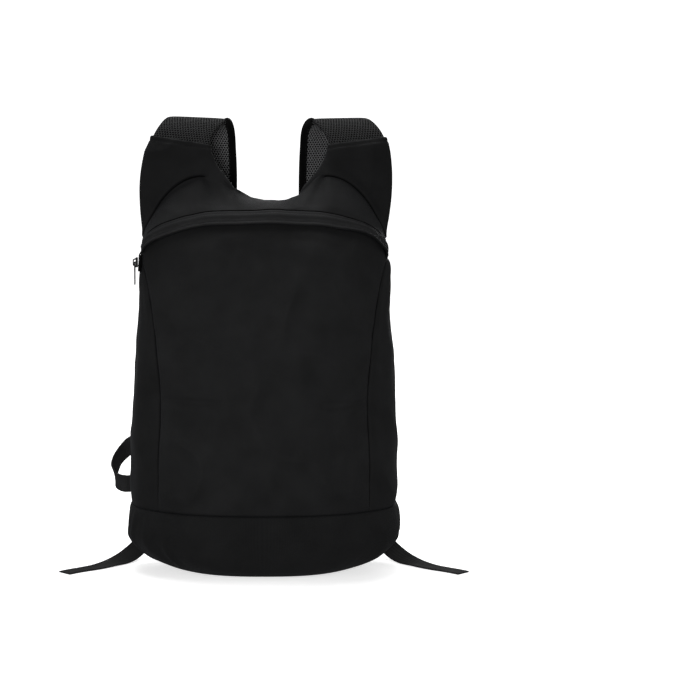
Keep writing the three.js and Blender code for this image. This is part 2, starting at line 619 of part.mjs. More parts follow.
// Ladder-lock buckle: a frame with two slots, standing behind the corner
function buckle() {
  const { width, height, depth } = BUCKLE;
  const box = (shape, w, h, z, r) => {
    shape.moveTo(-w / 2 + r, z - h / 2);
    shape.lineTo(w / 2 - r, z - h / 2);
    shape.lineTo(w / 2, z - h / 2 + r);
    shape.lineTo(w / 2, z + h / 2 - r);
    shape.lineTo(w / 2 - r, z + h / 2);
    shape.lineTo(-w / 2 + r, z + h / 2);
    shape.lineTo(-w / 2, z + h / 2 - r);
    shape.lineTo(-w / 2, z - h / 2 + r);
    shape.closePath();
    return shape;
  };
  const frame = box(new THREE.Shape(), width, height, 0, BUCKLE.corner);
  for (const z of [-BUCKLE.slot_rise, BUCKLE.slot_rise]) {
    frame.holes.push(box(new THREE.Path(), BUCKLE.slot_width, BUCKLE.slot_height, z, 0.8));
  }
  const solid = new THREE.ExtrudeGeometry(frame, { depth, bevelEnabled: false });
  solid.translate(0, 0, -depth / 2);
  solid.rotateX(Math.PI / 2);
  return solid;
}

const cloth = { color: 0x1f2023, roughness: 0.82, metalness: 0 };
const FINISH = {
  cloth,
  boot: { color: 0x1b1c1f, roughness: 0.8, metalness: 0 },
  mesh: { color: 0x2a2b2e, roughness: 0.9, metalness: 0 },
  tape: { color: 0x0c0c0d, roughness: 0.85, metalness: 0 },
  plastic: { color: 0x101011, roughness: 0.5, metalness: 0 },
  metal: { color: 0x55565a, roughness: 0.35, metalness: 0.9 },
};

function build() {
  const pack = new THREE.Group();
  pack.name = "backpack";
  const add = (name, geometry, finish) => {
    const mesh = new THREE.Mesh(geometry, new THREE.MeshStandardMaterial(FINISH[finish]));
    mesh.name = name;
    pack.add(mesh);
    return mesh;
  };
  add("bottom_panel", clothWall((u, v) => boot(1 - u, v), [40, 11], BOOT_WALL, true), "boot");
  add("front_panel", clothWall(frontPanel, [20, 14], SHELL), "cloth");
  add("back_panel", clothWall(backPanel, [14, 8], BACK_WALL), "cloth");
  add("zip_flap", clothWall(zipFlap, [34, 4], SHELL), "cloth");
  add("yoke", clothWall(yoke, [34, 5], SHELL), "cloth");
  add("zip_chain", zipChain(), "tape");
  for (const [word, side] of [["left", -1], ["right", 1]]) {
    const panel = sidePanel(side);
    add(`side_panel_${word}`, clothWall((u, v) => panel(side > 0 ? u : 1 - u, v), [8, 12], SHELL), "cloth");
    add(`strap_cover_${word}`, clothWall(strapCover(side), [8, 8], SHELL), "cloth");
    add(`strap_pad_${word}`, strapSolid(side, 0, STRAP.length - 1, 39, padOutline), "mesh");
    for (const [edge, sign] of [["inner", -1], ["outer", 1]]) {
      const tape = strapSolid(side, 14 / 3, STRAP.length - 1, 25, bindingOutline(sign));
      add(`strap_binding_${edge}_${word}`, tape, "tape");
    }
    const rows = side > 0 ? WEBBING : WEBBING.map(mirrored);
    add(`webbing_${word}`, webbing(rows, WEB_WIDTH, TAPE, 60), "tape");
    const tab = CORNER_TAB.map((r) => ({ ...r, x: side * BUCKLE.x, wide_x: 1, wide_y: 0, wide_z: 0 }));
    add(`corner_tab_${word}`, webbing(tab, TAB_WIDTH, TAB_WALL, 22), "tape");
    const lock = add(`buckle_${word}`, buckle(), "plastic");
    lock.position.set(side * BUCKLE.x, BUCKLE.y, BUCKLE.z);
  }
  add("side_loop", webbing(SIDE_LOOP, WEB_WIDTH, TAPE, 20), "tape");
  const sliderX = -(sideX(SLIDER.y, SLIDER.z) + CHAIN_STAND + CHAIN_DEPTH / 2 + GAP);
  add("zip_slider", zipSlider(), "metal").position.set(sliderX, SLIDER.y, SLIDER.z);
  const pivot = new THREE.Group();
  pivot.position.set(sliderX - PULL.reach, SLIDER.y, SLIDER.z);
  pivot.add(add("zip_pull", zipPull(), "metal"));
  pack.add(pivot);
  return pack;
}

export default build();
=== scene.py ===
import math

import bmesh
import bpy
import numpy as np
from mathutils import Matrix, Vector


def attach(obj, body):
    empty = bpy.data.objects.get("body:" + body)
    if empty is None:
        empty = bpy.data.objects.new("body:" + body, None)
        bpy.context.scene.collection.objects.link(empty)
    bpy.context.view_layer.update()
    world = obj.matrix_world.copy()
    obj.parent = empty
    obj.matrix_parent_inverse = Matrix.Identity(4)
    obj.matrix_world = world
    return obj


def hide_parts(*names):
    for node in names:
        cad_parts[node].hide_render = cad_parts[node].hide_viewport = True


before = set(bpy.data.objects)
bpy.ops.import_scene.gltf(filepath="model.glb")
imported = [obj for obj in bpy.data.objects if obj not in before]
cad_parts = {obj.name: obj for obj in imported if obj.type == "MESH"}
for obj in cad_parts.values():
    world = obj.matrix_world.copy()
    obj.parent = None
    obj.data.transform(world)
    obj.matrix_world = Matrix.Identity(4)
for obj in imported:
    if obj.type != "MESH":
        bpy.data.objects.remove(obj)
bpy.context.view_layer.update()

# Looks of a soft sports backpack. Tables and sizes are in millimetres, meshes in metres.
MM = 0.001
BODY_NAME = "pack"
PULL_BODY = "zip_pull"
SIDES = (("left", -1), ("right", 1))

# Cloth, padding and tape, as in the solids
SHELL = 2.0
BACK_WALL = 1.6
BOOT_WALL = 2.4
PAD = 5.5
TAPE = 1.4
WEB_WIDTH = 19.5
TAB_WIDTH = 18.5
TAB_WALL = 1.2
BUCKLE_X = 115.0
GAP = 0.4

# Binding tape: its lap over the pad, faces from the pad's middle, first strap rows and line of stitches
BINDING_REACH = 7.0
BINDING_START = 2.4
BINDING_WALL = 0.9
BINDING_GAP = 0.6
BINDING_LOW = PAD / 2 + 0.3
BINDING_HIGH = BINDING_LOW + BINDING_WALL
BINDING_FROM = {"inner": 5.8, "outer": 6.9}
BINDING_ROUND = 2.0
BINDING_STITCH = 1.6

# Body plan: superellipse sections
WIDEST_Y = 4.0
FRONT_POWER = 2.6
BACK_POWER = 4.0
BACK_SEAM_X = 130.0
NECK_LEAN = (396.0, 412.0)
NECK_BEHIND = 0.8
PANEL_PUFF = 3.0
PUFF_POWER = 6
SEAM_PINCH = 1.2

# Front panel: crowding of its columns to the seams, step of its lower corners, flat strip under the zip
FRONT_CROWD = 0.9
FRONT_CORNER = 2.5
FRONT_STRIP = 14.0

# How far each side panel's top rises past the zip's ends, and how far it tucks in under the zip flap
SIDE_TOP = {-1: (14.0, 13.0), 1: (7.0, 13.0)}
SIDE_TUCK = {-1: 1.5, 1: 7.0}
TUCK_FROM = (-4.0, 9.0)
SIDE_STEPS = 41

# Seams: gap between two panels, allowance inside the bag, and the share of a panel that turns in with it
SEAM = 0.05
ALLOWANCE = 5.0
EDGE_SHARE = 0.002

# Boot
RIM_FRONT = 71.0
RIM_SIDE = 75.0
ROUND_HEIGHT = 45.0
ROUND_POWER = 1.7
FLAT_X = 0.5
FLAT_FRONT = 0.72
FLAT_BACK = 0.88
BOOT_PUFF = 0.018
RIM_PUFF = 0.55
WALL_SHARE = 0.24
ROUND_SHARE = 0.5
BOOT_START = 0.0125
PLAN_FROM = 30.0
MIDDLE_SHIFT = 6.0

# Zip arch and band
ZIP_END = 350.0
ZIP_RISE = 44.0
ZIP_SPAN = 137.0
ZIP_POWER = 2.2
BAND_END = 354.0
BAND_RISE = 53.5
BAND_SPAN = 138.2
BAND_POWER = 2.6
MIDDLE_SAG = 2.5
SAG_REACH = (25.0, 70.0)
RIGHT_FULL = 3.5
FULL_FROM = (80.0, 113.0)
FULL_TO = (120.0, 137.0)

# Zip flap: its run along the arch, its share of the band's height and how far it stands off
FLAP_RUN = (-0.9, 0.985)
FLAP_RISE = (-0.14, 0.97)
FLAP_LIFT = 3.2
FLAP_PUFF = 1.6
FLAP_STITCH_ROWS = {"low": 6, "high": 19}

# Zip chain, the cloth behind its lower end, and the coil's pitch, wire, half width and half height
CHAIN_WIDTH = 5.0
CHAIN_TAPE = 0.5
CHAIN_STAND = 2.6
CHAIN_RUN = (0.965, -0.88)
CHAIN_SHARE = 0.22
SLIDER_Y = -7.0
BACKING = 2.8
BACKING_STAND = 0.8
BACKING_WIDTH = 9.0
COIL_PITCH = 1.5
COIL_WIRE = 0.36
COIL_HALF_WIDTH = 1.9
COIL_HALF_HEIGHT = 0.55
COIL_STEPS = 2600

# Knitted mesh of the pads: pitch and grid of its holes, their edge in pitches and their depth
KNIT_PITCH = 3.0
KNIT_COLUMNS = 140
KNIT_STEP = 0.87
KNIT_EDGE = (0.21, 0.44)
KNIT_DEPTH = 0.7
ROOT_3 = math.sqrt(3)

# Section of the pads, and how far the lining's flat coordinates are set apart from the face's
PAD_CROWN = 0.5
PAD_ROUND = (0.22, 0.5)
LINING_SHIFT = 600.0

# Strap: lean of the right-hand edges and lift of the crest, for each row of the strap's table
RIGHT_LEAN = {
    "in": np.array([6, 9.5, 11.5, 11.5, 11.5, 11, 12, 9.5, 9, 9, 8, 7, 7, 7]),
    "out": np.array([0, 2.5, 4.5, 7, 10, 10.5, 8.5, 7, 7, 7, 7, 7, 7, 7]),
}
CREST_LIFT = np.array([0, 0, 0, 1.5, 3, 3.5, 3.5, 3.5, 1.5, 0, 0, 0, 0, 0])
OUTER_CREST = {-1: 1.0, 1: 0.5}
ROW_STEP = 0.02

# Wings over the strap roots: rows of their hem, section, and the drop and thinning of their root
HEM_ROWS = (4.0, 4.45)
HEM_STITCH = np.s_[-8, 12:-12]
WING_ROUND = 5.0
WING_WRAP = 0.13
WING_SPARE = 1.2
WING_CROWN = 1.2
WING_ROOT = 0.14
ROOT_DROP = (-2.0, 1.5, -9.0)
ROOT_THIN = 0.7
WING_LIFT = PAD / 2 + GAP + SHELL
DART_BROW = 3.5

# The yoke runs smoothly into each wing beside the neckline and meets it in a dart further out
DART_FROM = 44.0
DART_TO = 78.0
DART_SINK = 3.0
DART_FADE = 118.0
DART_SEAM = (64.0, 127.0)
DART_ROW = -3
# Radius of the near-black cord in each dart crease, a painted shadow line
DART_SHADOW_CORD = 1.0
DART_BELLY = {-1: 3.5, 1: 7.0}
DART_DROP = {-1: 9.0, 1: 6.0}
# Radius and offset of the near-black cord above the band, a painted shadow line
BAND_SHADOW_CORD = 0.7
BAND_SHADOW_CORD_OFFSET = np.array([0, 0.9, 0.5])
LAP_SINK = 0.9
LAP_ROWS = (0.75, 2.3)
LAP_START = {-1: 1.0, 1: 0.6}
YOKE_CORNER = 32.0
CORNER_BLEND = (-14.0, 4.0)
STRAP_ROOT = 104.0
YOKE_SPAN = 138.0
NECK_SHIFT = 7.0
NECK_FULL = 3.0
NECK_WAY = np.array([0, -0.62, 0.78])
FOOT_SHARE = 0.88
FOOT_TUCK = np.array([0, 1.4, -0.6])

# Rough flat width and height of panels, which set the pitch of their relief
SIDE_FLAT = (85.0, 285.0)
BACK_FLAT = (260.0, 330.0)
BOOT_FLAT = (780.0, 110.0)
FLAP_FLAT = (330.0, 20.0)
YOKE_FLAT = (350.0, 60.0)
WING_FLAT = (110.0, 118.0)

# Relief of loose cloth: how far and at what pitch it is bent, and the pitch of its kinds both ways
WARP = 9.0
WARP_PITCH = 60.0
WAVE_PITCH = (75.0, 90.0)
FOLD_PITCH = (42.0, 58.0)
CRUMPLE_PITCH = (13.0, 17.0)

# Depth of each panel's broad waves, soft folds and fine crumple
FRONT_LOOSE = (3.4, 2.8, 0.42)
SIDE_LOOSE = (1.8, 2.0, 0.42)
SIDE_DRAPE = 2.6
BACK_LOOSE = (2.0, 2.0, 0.36)
BOOT_LOOSE = (1.7, 1.5, 0.26)
YOKE_LOOSE = (1.2, 1.2, 0.2)
WING_LOOSE = (2.2, 2.2, 0.36)
FLAP_WAVY = (0.7, 0.2)

# Gathers beside a seam: depth, reach and pitch; panels have them at their sides and at their foot
FRONT_GATHERS = ((1.2, 16, 15), (1.3, 20, 16))
SIDE_GATHERS = ((1.1, 14, 14), (1.3, 20, 15))
BACK_GATHERS = ((0.6, 12, 11), (0.7, 14, 13))
BOOT_GATHERS = (0.55, 14, 12)
YOKE_GATHERS = (0.5, 10, 12)
HEM_GATHERS = (0.5, 14, 11)

# Cloth turning in at a sewn edge, hems and piping: height, place and width of each ridge or groove
EDGE_ROLL = ((-0.7, 0, 2.2),)
BACK_ROLL = ((-1.1, 0, 3.0),)
BOOT_ROLL = ((-1.3, 0, 2.2),)
FLAP_HEM = ((0.5, 1.6, 1.5), (-0.35, 4.4, 0.7))
FLAP_PIPING = ((0.9, 2.0, 1.4), (-0.5, 4.6, 0.8))
WING_HEM = ((0.7, 2.2, 2.0), (-0.5, 7.0, 1.0))

# Seeds of the relief
FRONT_SEED = 11
FRONT_GATHER_SEED = 21
SIDE_SEED = {-1: 31, 1: 35}
BACK_SEED = 41
BOOT_SEED = 51
FLAP_SEED = 61
YOKE_SEED = 71
WING_SEED = 82
HEM_SEED = 86


def table(columns, *rows):
    """Rows of numbers as named columns."""
    return dict(zip(columns.split(), np.array(rows, float).T))


BODY = table(
    "height half_width front back",
    (0, 150.5, -63, 40), (40, 151, -68, 41), (75, 149.8, -70, 42), (120, 148.4, -70.5, 43),
    (200, 145.8, -65, 43.5), (280, 141.2, -53, 43.5), (350, 138.2, -35, 43), (410, 137.5, -8, 43),
)
FRONT_SEAM = table(
    "height x", (60, 118), (140, 117), (195, 114.5), (250, 119), (305, 126.5), (335, 133), (350, 137)
)
BAND_DEPTH = table("x y", (0, -4), (70, -2), (110, 3), (130, 9), (138.2, 14))
YOKE_TOP = table(
    "x y height",
    (0, 43.4, 411), (14, 43.4, 412), (22, 42.5, 416.5), (27, 38, 421), (31, 35.5, 425.5),
    (50, 33.4, 435), (66, 33.4, 441.5), (82, 33.4, 440), (96, 33.4, 433.5), (108, 33.4, 423.5),
    (118, 33.4, 411.5), (126, 34, 398), (133.5, 37, 383), (138, 42, 367),
)
# How far the neckline hangs above or below its even shape
NECK_TILT = table(
    "x rise",
    (-46, 0), (-33, 4.5), (-20, 5.6), (-8, 4.8), (0, 3.4), (12, 2.6),
    (20, -1), (27, -5.5), (36, -11), (46, -7), (58, 0),
)
# Strap pad from its root to its tip: inner and outer edge on the right-hand side
STRAP = table(
    "in_x in_y in_z out_x out_y out_z",
    (33, 41, 412, 134, 41, 362),
    (36, 41, 428, 138.5, 41, 402),
    (45, 42, 441, 139, 42, 432),
    (56.5, 44, 455, 135.5, 44, 457),
    (62, 47, 471, 129, 47, 475),
    (56, 54, 487, 120, 54, 492),
    (40.5, 69, 499, 110, 69, 502),
    (35.5, 84, 491, 102, 85, 494),
    (33.5, 91, 467, 98, 93, 470),
    (32.5, 94, 432, 96, 97, 434),
    (34, 93, 398, 96, 97, 398),
    (40, 88, 340, 99, 92, 338),
    (50, 81, 288, 103, 85, 284),
    (67, 76, 244, 105, 79, 239),
)
LAST_ROW = len(STRAP["in_x"]) - 1
WEB_COLUMNS = "x y z wide_x wide_y wide_z"
WEBBING = table(
    WEB_COLUMNS,
    (85, 84.8, 262, 1, 0.06, -0.1),
    (87, 82, 237, 1, 0.06, -0.1),
    (96, 70, 170, 1, 0.03, -0.1),
    (107, 56.5, 110, 1, 0, -0.1),
    (114, 49.6, 82, 1, 0, 0),
    (115, 48.9, 73, 1, 0, 0),
    (115, 49, 70, 1, 0, 0),
    (115, 50.2, 68.2, 1, 0, 0),
    (115, 52, 67.7, 1, 0, 0),
    (115, 54.2, 67.3, 1, 0, 0),
    (115, 55.7, 66, 1, 0, 0.05),
    (115.6, 56.4, 62.5, 1, 0, 0.2),
    (120, 57.2, 51, 0.85, 0, 0.5),
    (130, 57, 32, 0.74, 0, 0.68),
    (143, 48, 15.5, 0.6, 0.2, 0.78),
    (158, 27, 6.4, 0.45, 0.6, 0.5),
    (175, 9, 2.9, 0.55, 0.8, 0.16),
    (190, -5, 1.5, 0.6, 0.75, 0.03),
    (203, -14, 1, 0.6, 0.75, 0),
    (214, -23, 0.95, 0.66, 0.7, 0),
    (223, -32, 0.95, 0.72, 0.68, 0),
)
CORNER_TAB = table(
    "y z",
    (41.2, 45), (45.5, 47.4), (49, 49.1), (52.4, 49.3), (55, 50.8), (55.2, 54.2),
    (53.2, 56), (50.6, 56), (48.6, 53.6), (46, 50.4), (41.2, 47.8),
)
SIDE_LOOP = table(
    WEB_COLUMNS,
    (-137.9, 32.2, 136, 0.085, -0.05, 1),
    (-148.5, 42, 135.6, -0.2, -0.1, 1),
    (-158.5, 44, 128, -0.5, -0.4, 0.72),
    (-168, 37, 117, -0.45, -0.7, 0.57),
    (-170.5, 26, 105, -0.25, -0.45, 0.86),
    (-166, 16, 97, 0.05, -0.25, 0.95),
    (-158, 13.8, 94, 0.08, 0, 1),
    (-149.8, 16, 93.8, -0.03, 0, 1),
)
# Soft folds and pressed creases of the front panel
FRONT_FOLDS = table(
    "x z run rise width depth",
    (-108, 199, 62, -3, 3, 1.5),
    (66, 193, 46, 2, 3, 1.4),
    (34, 374, 48, -14, 8, 1.5),
    (-82, 372, 34, 8, 8, 1.2),
    (96, 330, 18, -60, 11, 2.2),
    (-104, 330, -8, -70, 11, 1.6),
)


def smooth(value, low, high):
    t = np.clip((value - low) / (high - low), 0, 1)
    return t * t * (3 - 2 * t)


def lerp(a, b, t):
    return a + (b - a) * t


def unit(vectors):
    return vectors / np.maximum(np.linalg.norm(vectors, axis=-1, keepdims=True), 1e-9)


def stack(x, y, z):
    return np.stack(np.broadcast_arrays(x, y, z), -1).astype(float)


def rounded(share, power):
    """A power of a share from -1 to 1 that keeps its sign, as in a superellipse."""
    return np.sign(share) * np.abs(share) ** power


def column(rows, name, at):
    """One column of a table as a smooth function of another."""
    x, y = rows[at], rows[name]
    step = np.diff(y) / np.diff(x)
    slope = np.concatenate([step[:1], (y[2:] - y[:-2]) / (x[2:] - x[:-2]), step[-1:]])

    def read(value):
        t = np.clip(value, x[0], x[-1])
        i = np.clip(np.searchsorted(x, t) - 1, 0, len(x) - 2)
        span = x[i + 1] - x[i]
        s = (t - x[i]) / span
        start = (1 + 2 * s) * (1 - s) ** 2 * y[i] + s * (1 - s) ** 2 * span * slope[i]
        return start + s * s * (3 - 2 * s) * y[i + 1] + s * s * (s - 1) * span * slope[i + 1]

    return read


half_width, front_middle, back_middle = (
    column(BODY, name, "height") for name in ("half_width", "front", "back")
)
front_seam = column(FRONT_SEAM, "x", "height")
band_depth = column(BAND_DEPTH, "y", "x")
yoke_top_y, yoke_top_z = (column(YOKE_TOP, name, "x") for name in ("y", "height"))
neck_tilt = column(NECK_TILT, "rise", "x")


def curve(points):
    """Centripetal Catmull-Rom curve through points, as a function of the share of their count."""
    p = np.asarray(points, float)
    ends = np.vstack([2 * p[0] - p[1], p, 2 * p[-1] - p[-2]])

    def step(a, b, least):
        length = np.linalg.norm(b - a, axis=-1, keepdims=True) ** 0.5
        return np.where(length < 0.01, least, length)

    def at(t):
        t = np.clip(np.asarray(t, float), 0, 1) * (len(p) - 1)
        i = np.minimum(t.astype(int), len(p) - 2)
        w = (t - i)[..., None]
        a, b, c, d = (ends[i + k] for k in range(4))
        middle = step(b, c, 1)
        before, after = step(a, b, middle), step(c, d, middle)
        m = ((b - a) / before - (c - a) / (before + middle) + (c - b) / middle) * middle
        n = ((c - b) / middle - (d - b) / (middle + after) + (d - c) / after) * middle
        return (2 * b - 2 * c + m + n) * w**3 + (3 * c - 3 * b - 2 * m - n) * w**2 + m * w + b

    return at


def reach_of(points):
    """Length along a line of points, up to each of them."""
    return np.concatenate([[0], np.cumsum(np.linalg.norm(np.diff(points, axis=0), axis=1))])


def read_line(want, reach, points):
    """Points read off a line at lengths along it."""
    return np.stack([np.interp(want, reach, values) for values in points.T], -1)


def even(points, count, cluster=0.0):
    """A line of points respaced along its length, closer together at the ends by the cluster share."""
    reach = reach_of(points)
    want = np.linspace(0, 1, count)
    want = lerp(want, (1 - np.cos(np.pi * want)) / 2, cluster) * reach[-1]
    return read_line(want, reach, points)


# Relief

def noise(x, y, seed):
    """Smooth noise from -1 to 1 with one feature to a unit."""
    size = 64
    lattice = np.random.default_rng(seed).uniform(-1, 1, (size, size))
    x, y = np.broadcast_arrays(np.asarray(x, float), np.asarray(y, float))
    c, d = math.cos(seed), math.sin(seed)
    x, y = c * x - d * y, d * x + c * y
    i, j = np.floor(x).astype(int), np.floor(y).astype(int)
    s, t = (w**3 * (w * (6 * w - 15) + 10) for w in (x - i, y - j))
    i, j = i % size, j % size
    k, m = (i + 1) % size, (j + 1) % size
    low = lerp(lattice[i, j], lattice[k, j], s)
    high = lerp(lattice[i, m], lattice[k, m], s)
    return lerp(low, high, t)


def soft_ridge(level):
    """A fold's crest where a noise level crosses nought."""
    return 1 - 2 * (level * level + 0.006) ** 0.4


def wrinkles(a, b, seed, broad, folds, fine):
    """Relief of loose cloth over its own flat coordinates: broad waves, soft folds and fine crumple."""
    warp = WARP * noise(a / WARP_PITCH, b / WARP_PITCH, seed + 1)
    wave = broad * noise(a / WAVE_PITCH[0] + 3.1, b / WAVE_PITCH[1] + 1.7, seed)
    ridge = soft_ridge(noise((a + warp) / FOLD_PITCH[0], (b - warp) / FOLD_PITCH[1], seed + 2))
    crumple = noise((a + 2 * warp) / CRUMPLE_PITCH[0], (b + warp) / CRUMPLE_PITCH[1], seed + 3)
    return wave + folds * ridge + fine * crumple


def pucker(away, along, seed, depth, reach, pitch):
    """Short gathers that run away from a sewn edge."""
    bend = along + 0.25 * away * noise(along / 40, 0.5, seed + 5)
    return depth * np.exp(-away / reach) * noise(bend / pitch, away / 30, seed) * smooth(away, 0, 2.5)


def bell(away, width):
    return np.exp(-((away / width) ** 2))


def welts(away, rows):
    """Ridges and grooves that run along an edge."""
    return sum(height * bell(away - place, width) for height, place, width in rows)


def sewn(side, low, x, z, seed, gathers, roll):
    """Gathers and turned-in cloth along the side and lower seams of a panel."""
    gathered = pucker(side, z, seed, *gathers[0]) + pucker(low, x, seed + 1, *gathers[1])
    return gathered + welts(side, roll) + welts(low, roll)


def fold_depth(x, z):
    depth = 0
    for x0, z0, run, rise, width, deep in zip(*FRONT_FOLDS.values()):
        s = np.clip(((x - x0) * run + (z - z0) * rise) / (run**2 + rise**2), 0, 1)
        away = np.hypot(x - x0 - s * run, z - z0 - s * rise)
        depth = depth + deep * bell(away, width)
    return depth


def edges(flat, u, v):
    """Distances from the nearer side, the foot and the top of a panel of a flat size."""
    width, height = flat
    return width * np.minimum(u, 1 - u), height * v, height * (1 - v)


# Surfaces of the body

def fullness(share, power):
    return np.maximum(1 - np.minimum(np.abs(share), 1) ** power, 0) ** (1 / power)


def front_y(x, z):
    return WIDEST_Y - (WIDEST_Y - front_middle(z)) * fullness(x / half_width(z), FRONT_POWER)


def back_y(x, z):
    return WIDEST_Y + (back_middle(z) - WIDEST_Y) * fullness(x / half_width(z), BACK_POWER)


def side_x(y, z):
    front = half_width(z) * fullness((y - WIDEST_Y) / (WIDEST_Y - front_middle(z)), FRONT_POWER)
    back = half_width(z) * fullness((y - WIDEST_Y) / (back_middle(z) - WIDEST_Y), BACK_POWER)
    return np.where(y < WIDEST_Y, front, back)


def arch(x, rise, span, power):
    """An arch's height over its ends, with the sag of cloth at its middle."""
    sag = MIDDLE_SAG * (1 - smooth(np.abs(x), *SAG_REACH))
    return rise * np.maximum(1 - (x / span) ** 2, 0) ** (1 / power) - sag


def zip_height(x):
    full = RIGHT_FULL * smooth(x, *FULL_FROM) * (1 - smooth(x, *FULL_TO))
    return ZIP_END + arch(x, ZIP_RISE, ZIP_SPAN, ZIP_POWER) + full


def band_height(x):
    return BAND_END + arch(x, BAND_RISE, BAND_SPAN, BAND_POWER)


def rim_height(x, y):
    front = lerp(RIM_FRONT, RIM_SIDE, np.minimum((x / half_width(RIM_SIDE)) ** 2, 1))
    return np.where(y < WIDEST_Y, front, RIM_SIDE)


def swell(u, v, top):
    """How far a panel puffs out from its seams; above the share top it stays as full as there."""
    v = np.minimum(v, top)
    return PANEL_PUFF * (1 - (2 * u - 1) ** PUFF_POWER) * (1 - (2 * v - 1) ** PUFF_POWER) - SEAM_PINCH


def puffed(depth, x, z, way, out):
    """Points of the front (way -1) or back (way 1), pushed out along the plan's normal."""
    slope = depth(x + 0.5, z) - depth(x - 0.5, z)
    return stack(x, depth(x, z), z) + unit(stack(-way * slope, way, 0)) * out[..., None]


def front_panel(u, v):
    s = lerp(2 * u - 1, np.sin((2 * u - 1) * (np.pi / 2)), FRONT_CROWD)
    edge = lerp(RIM_FRONT + FRONT_CORNER + SEAM, ZIP_END, v)
    edge_x = front_seam(edge)
    edge_low = rim_height(edge_x, 0) + SEAM
    edge_share = np.clip((edge - edge_low) / (zip_height(edge_x) - edge_low), 0, 1)
    x = s * (edge_x - SEAM)
    share = lerp(v, edge_share, np.abs(s) ** 3)
    z = lerp(rim_height(x, 0) + SEAM, zip_height(x), share)
    out = (swell(u, v, 0.5) - fold_depth(x, z)) * smooth(zip_height(x) - z, 0, FRONT_STRIP)
    return puffed(front_y, x, z, -1, out)


def front_relief(u, v, at):
    x, z = at[..., 0], at[..., 2]
    side = np.maximum(front_seam(np.minimum(z, ZIP_END)) - np.abs(x), 0)
    low = np.maximum(z - rim_height(x, 0), 0)
    inside = smooth(np.minimum(side, low), 0, 30) * smooth(zip_height(x) - z, 0, 30)
    seams = sewn(side, low, x, z, FRONT_GATHER_SEED, FRONT_GATHERS, EDGE_ROLL)
    return wrinkles(x, z, FRONT_SEED, *FRONT_LOOSE) * inside + seams


def side_panel(side):
    steps = np.linspace(0, 1, SIDE_STEPS)

    def surface(u, v):
        u = u if side > 0 else 1 - u

        def pick(z):
            """Place and outward direction in plan, by length along the side's arc at a height."""
            start = front_y(front_seam(np.minimum(z, ZIP_END)) + SEAM, z)
            y = lerp(start[..., None], back_y(BACK_SEAM_X, z)[..., None], steps)
            turn = np.stack([side_x(y, z[..., None]), y], -1)
            length = np.linalg.norm(np.diff(turn, axis=-2), axis=-1)
            reach = np.concatenate([np.zeros_like(length[..., :1]), np.cumsum(length, -1)], -1)
            want = (u * reach[..., -1])[..., None]
            k = np.clip((reach < want).sum(-1), 1, len(steps) - 1)[..., None]
            low, high = np.take_along_axis(reach, k - 1, -1), np.take_along_axis(reach, k, -1)
            a, b = (np.take_along_axis(turn, i[..., None], -2)[..., 0, :] for i in (k - 1, k))
            onward = unit(b - a)
            return lerp(a, b, (want - low) / (high - low)), np.stack([onward[..., 1], -onward[..., 0]], -1)

        foot = pick(np.full_like(u, RIM_SIDE))[0]
        top = ZIP_END + lerp(*SIDE_TOP[side], u)
        z = lerp(rim_height(foot[..., 0], foot[..., 1]) + SEAM, top, v)
        at, normal = pick(z)
        tuck = SIDE_TUCK[side] * smooth(z - ZIP_END, *TUCK_FROM)
        at = at + normal * (swell(u, v, 0.9) - tuck)[..., None]
        return stack(side * at[..., 0], at[..., 1], z)

    return surface


def side_relief(side):
    seed = SIDE_SEED[side]

    def relief(u, v, at):
        edge, low, high = edges(SIDE_FLAT, u, v)
        across, z = SIDE_FLAT[0] * u, at[..., 2]
        inside = smooth(edge, 0, 18) * smooth(low, 0, 25) * smooth(high, 0, 25)
        draped = SIDE_DRAPE * noise(across / 26, z / 150, seed + 7)
        loose = draped + wrinkles(across, z, seed, *SIDE_LOOSE)
        return loose * inside + sewn(edge, low, across, z, seed + 8, SIDE_GATHERS, EDGE_ROLL)

    return relief


def back_panel(u, v):
    s = 1 - 2 * u
    x = s * (BACK_SEAM_X - SEAM)
    across = np.abs(x)
    fall = (STRAP["out_z"][0] - STRAP["in_z"][0]) / (STRAP["out_x"][0] - STRAP["in_x"][0])
    shoulder = STRAP["in_z"][0] + (across - STRAP["in_x"][0]) * fall - 2 * GAP
    neck = yoke_top_z(across) + neck_tilt(x) - SHELL - 1.5 * GAP
    beside = smooth(across - NECK_SHIFT * (x > 0), 30, 35)
    z = lerp(RIM_SIDE + SEAM, lerp(neck, shoulder, beside), v)
    at = puffed(back_y, x, z, 1, swell(u, v, 0.5) * lerp(1, 0.5, 1 - np.abs(s) ** PUFF_POWER))
    lean = smooth(z, *NECK_LEAN) * (1 - beside)
    at[..., 1] = lerp(at[..., 1], yoke_top_y(across) + NECK_BEHIND, lean)
    return at


def back_relief(u, v, at):
    x, z = at[..., 0], at[..., 2]
    side, low, high = edges(BACK_FLAT, u, v)
    inside = smooth(np.minimum(np.minimum(side, low), high), 0, 25)
    seams = sewn(side, low, x, z, BACK_SEED + 1, BACK_GATHERS, BACK_ROLL)
    return wrinkles(x, z, BACK_SEED, *BACK_LOOSE) * inside + seams


